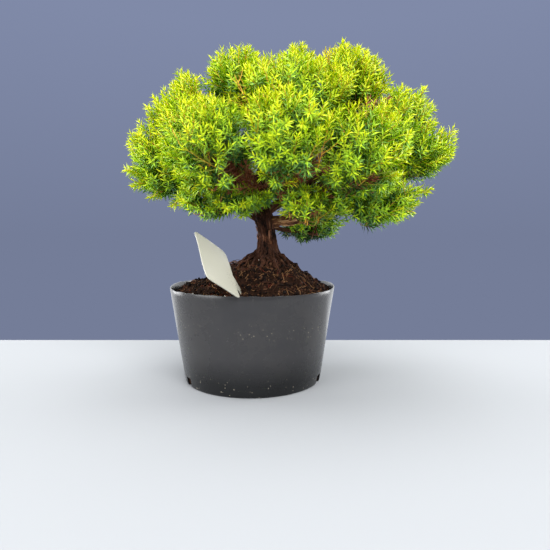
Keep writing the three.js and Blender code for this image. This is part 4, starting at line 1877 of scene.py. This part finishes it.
@dataclass
class Stage:
    """The plain pale floor, the soft light and the camera."""

    floor: Colour = srgb(158, 160, 163)
    wall_top: Colour = srgb(128, 138, 168)
    wall_low: Colour = srgb(116, 125, 152)
    lens: float = 30.1
    position: Place = (0.024, -0.5, 0.156)
    tilt: float = 85.0

    def build(self) -> None:
        """Sets the floor, the surroundings, the lights and the camera."""
        deselect_all()
        bpy.ops.mesh.primitive_cube_add(size=1, location=(0, -0.2885, -0.01))
        slab = newest("floor")
        slab.scale = (1.4, 0.923, 0.02)
        bpy.ops.object.transform_apply(location=True, scale=True)
        dress(slab, PlainFinish("floor_paint", self.floor, 0.9, 0.05).material())
        self.surroundings()
        self.light("key", (0.8, -1.7, 1.7), 1.2, 54.0)
        self.light("fill", (-1.5, -1.5, 0.7), 1.4, 40.0)
        self.light("top", (0.0, 0.15, 2.2), 1.4, 28.0)
        self.light("left_edge", (-1.5, 0.5, 0.3), 0.9, 20.0)
        self.light("right_edge", (1.5, 0.5, 0.3), 0.9, 22.0)
        camera = bpy.data.objects.new("camera", bpy.data.cameras.new("camera"))
        camera.data.lens = self.lens
        camera.data.sensor_width = 36
        camera.data.clip_start = 0.01
        camera.location = self.position
        camera.rotation_euler = (math.radians(self.tilt), 0, 0)
        bpy.context.scene.collection.objects.link(camera)
        bpy.context.scene.camera = camera
        bpy.context.scene.view_settings.view_transform = "Standard"

    def light(self, name: str, place: Place, size: float, power: float) -> None:
        """Hangs one soft square light aimed at the plant.

        Args:
            name: Its name.
            place: Where it hangs.
            size: The length of its side, in metres.
            power: Its power, in watts.
        """
        lamp = bpy.data.lights.new(name, "AREA")
        lamp.size = size
        lamp.energy = power
        holder = bpy.data.objects.new(name, lamp)
        holder.location = place
        aim = Vector((0.03, 0, 0.18)) - Vector(place)
        holder.rotation_euler = aim.to_track_quat("-Z", "Y").to_euler()
        bpy.context.scene.collection.objects.link(holder)

    def surroundings(self) -> None:
        """A plain slate-blue backdrop to look at, and even white light from all round."""
        world = bpy.data.worlds.new("surroundings")
        bpy.context.scene.world = world
        world.use_nodes = True
        wiring = Wiring(world.node_tree)
        world.node_tree.nodes.clear()
        ray = wiring.node("LightPath").outputs["Is Camera Ray"]
        facing = wiring.node("SeparateXYZ", {0: wiring.node("TexCoord").outputs["Generated"]}).outputs
        wall_colour = wiring.blend(wiring.remap(facing[2], 0.0, 0.4), self.wall_low, self.wall_top)
        wall = wiring.node("Background", {"Color": wall_colour, "Strength": 1.0})
        power = wiring.remap(facing[1], -0.9, 0.6, 0.2, 1.5)
        glow = wiring.node("Background", {"Color": (0.93, 0.96, 1.0, 1.0), "Strength": power})
        mixed = wiring.node("MixShader", {0: ray, 1: glow.outputs[0], 2: wall.outputs[0]})
        wiring.node("OutputWorld", {"Surface": mixed.outputs[0]})


def main() -> None:
    """Builds the plant in its pot."""
    logging.basicConfig(level=logging.INFO, format="%(message)s")
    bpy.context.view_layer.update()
    nodes = frame["nodes"]
    pot = Pot()
    pot.build()
    compost = Compost(pot)
    compost.build()
    Label().build()
    wood = Frame()
    wood.build(compost)
    Crown(wood, {name: node for name, node in nodes.items() if name.startswith("mass_")}).build()
    Stage().build()


if __name__ == "__main__":
    main()
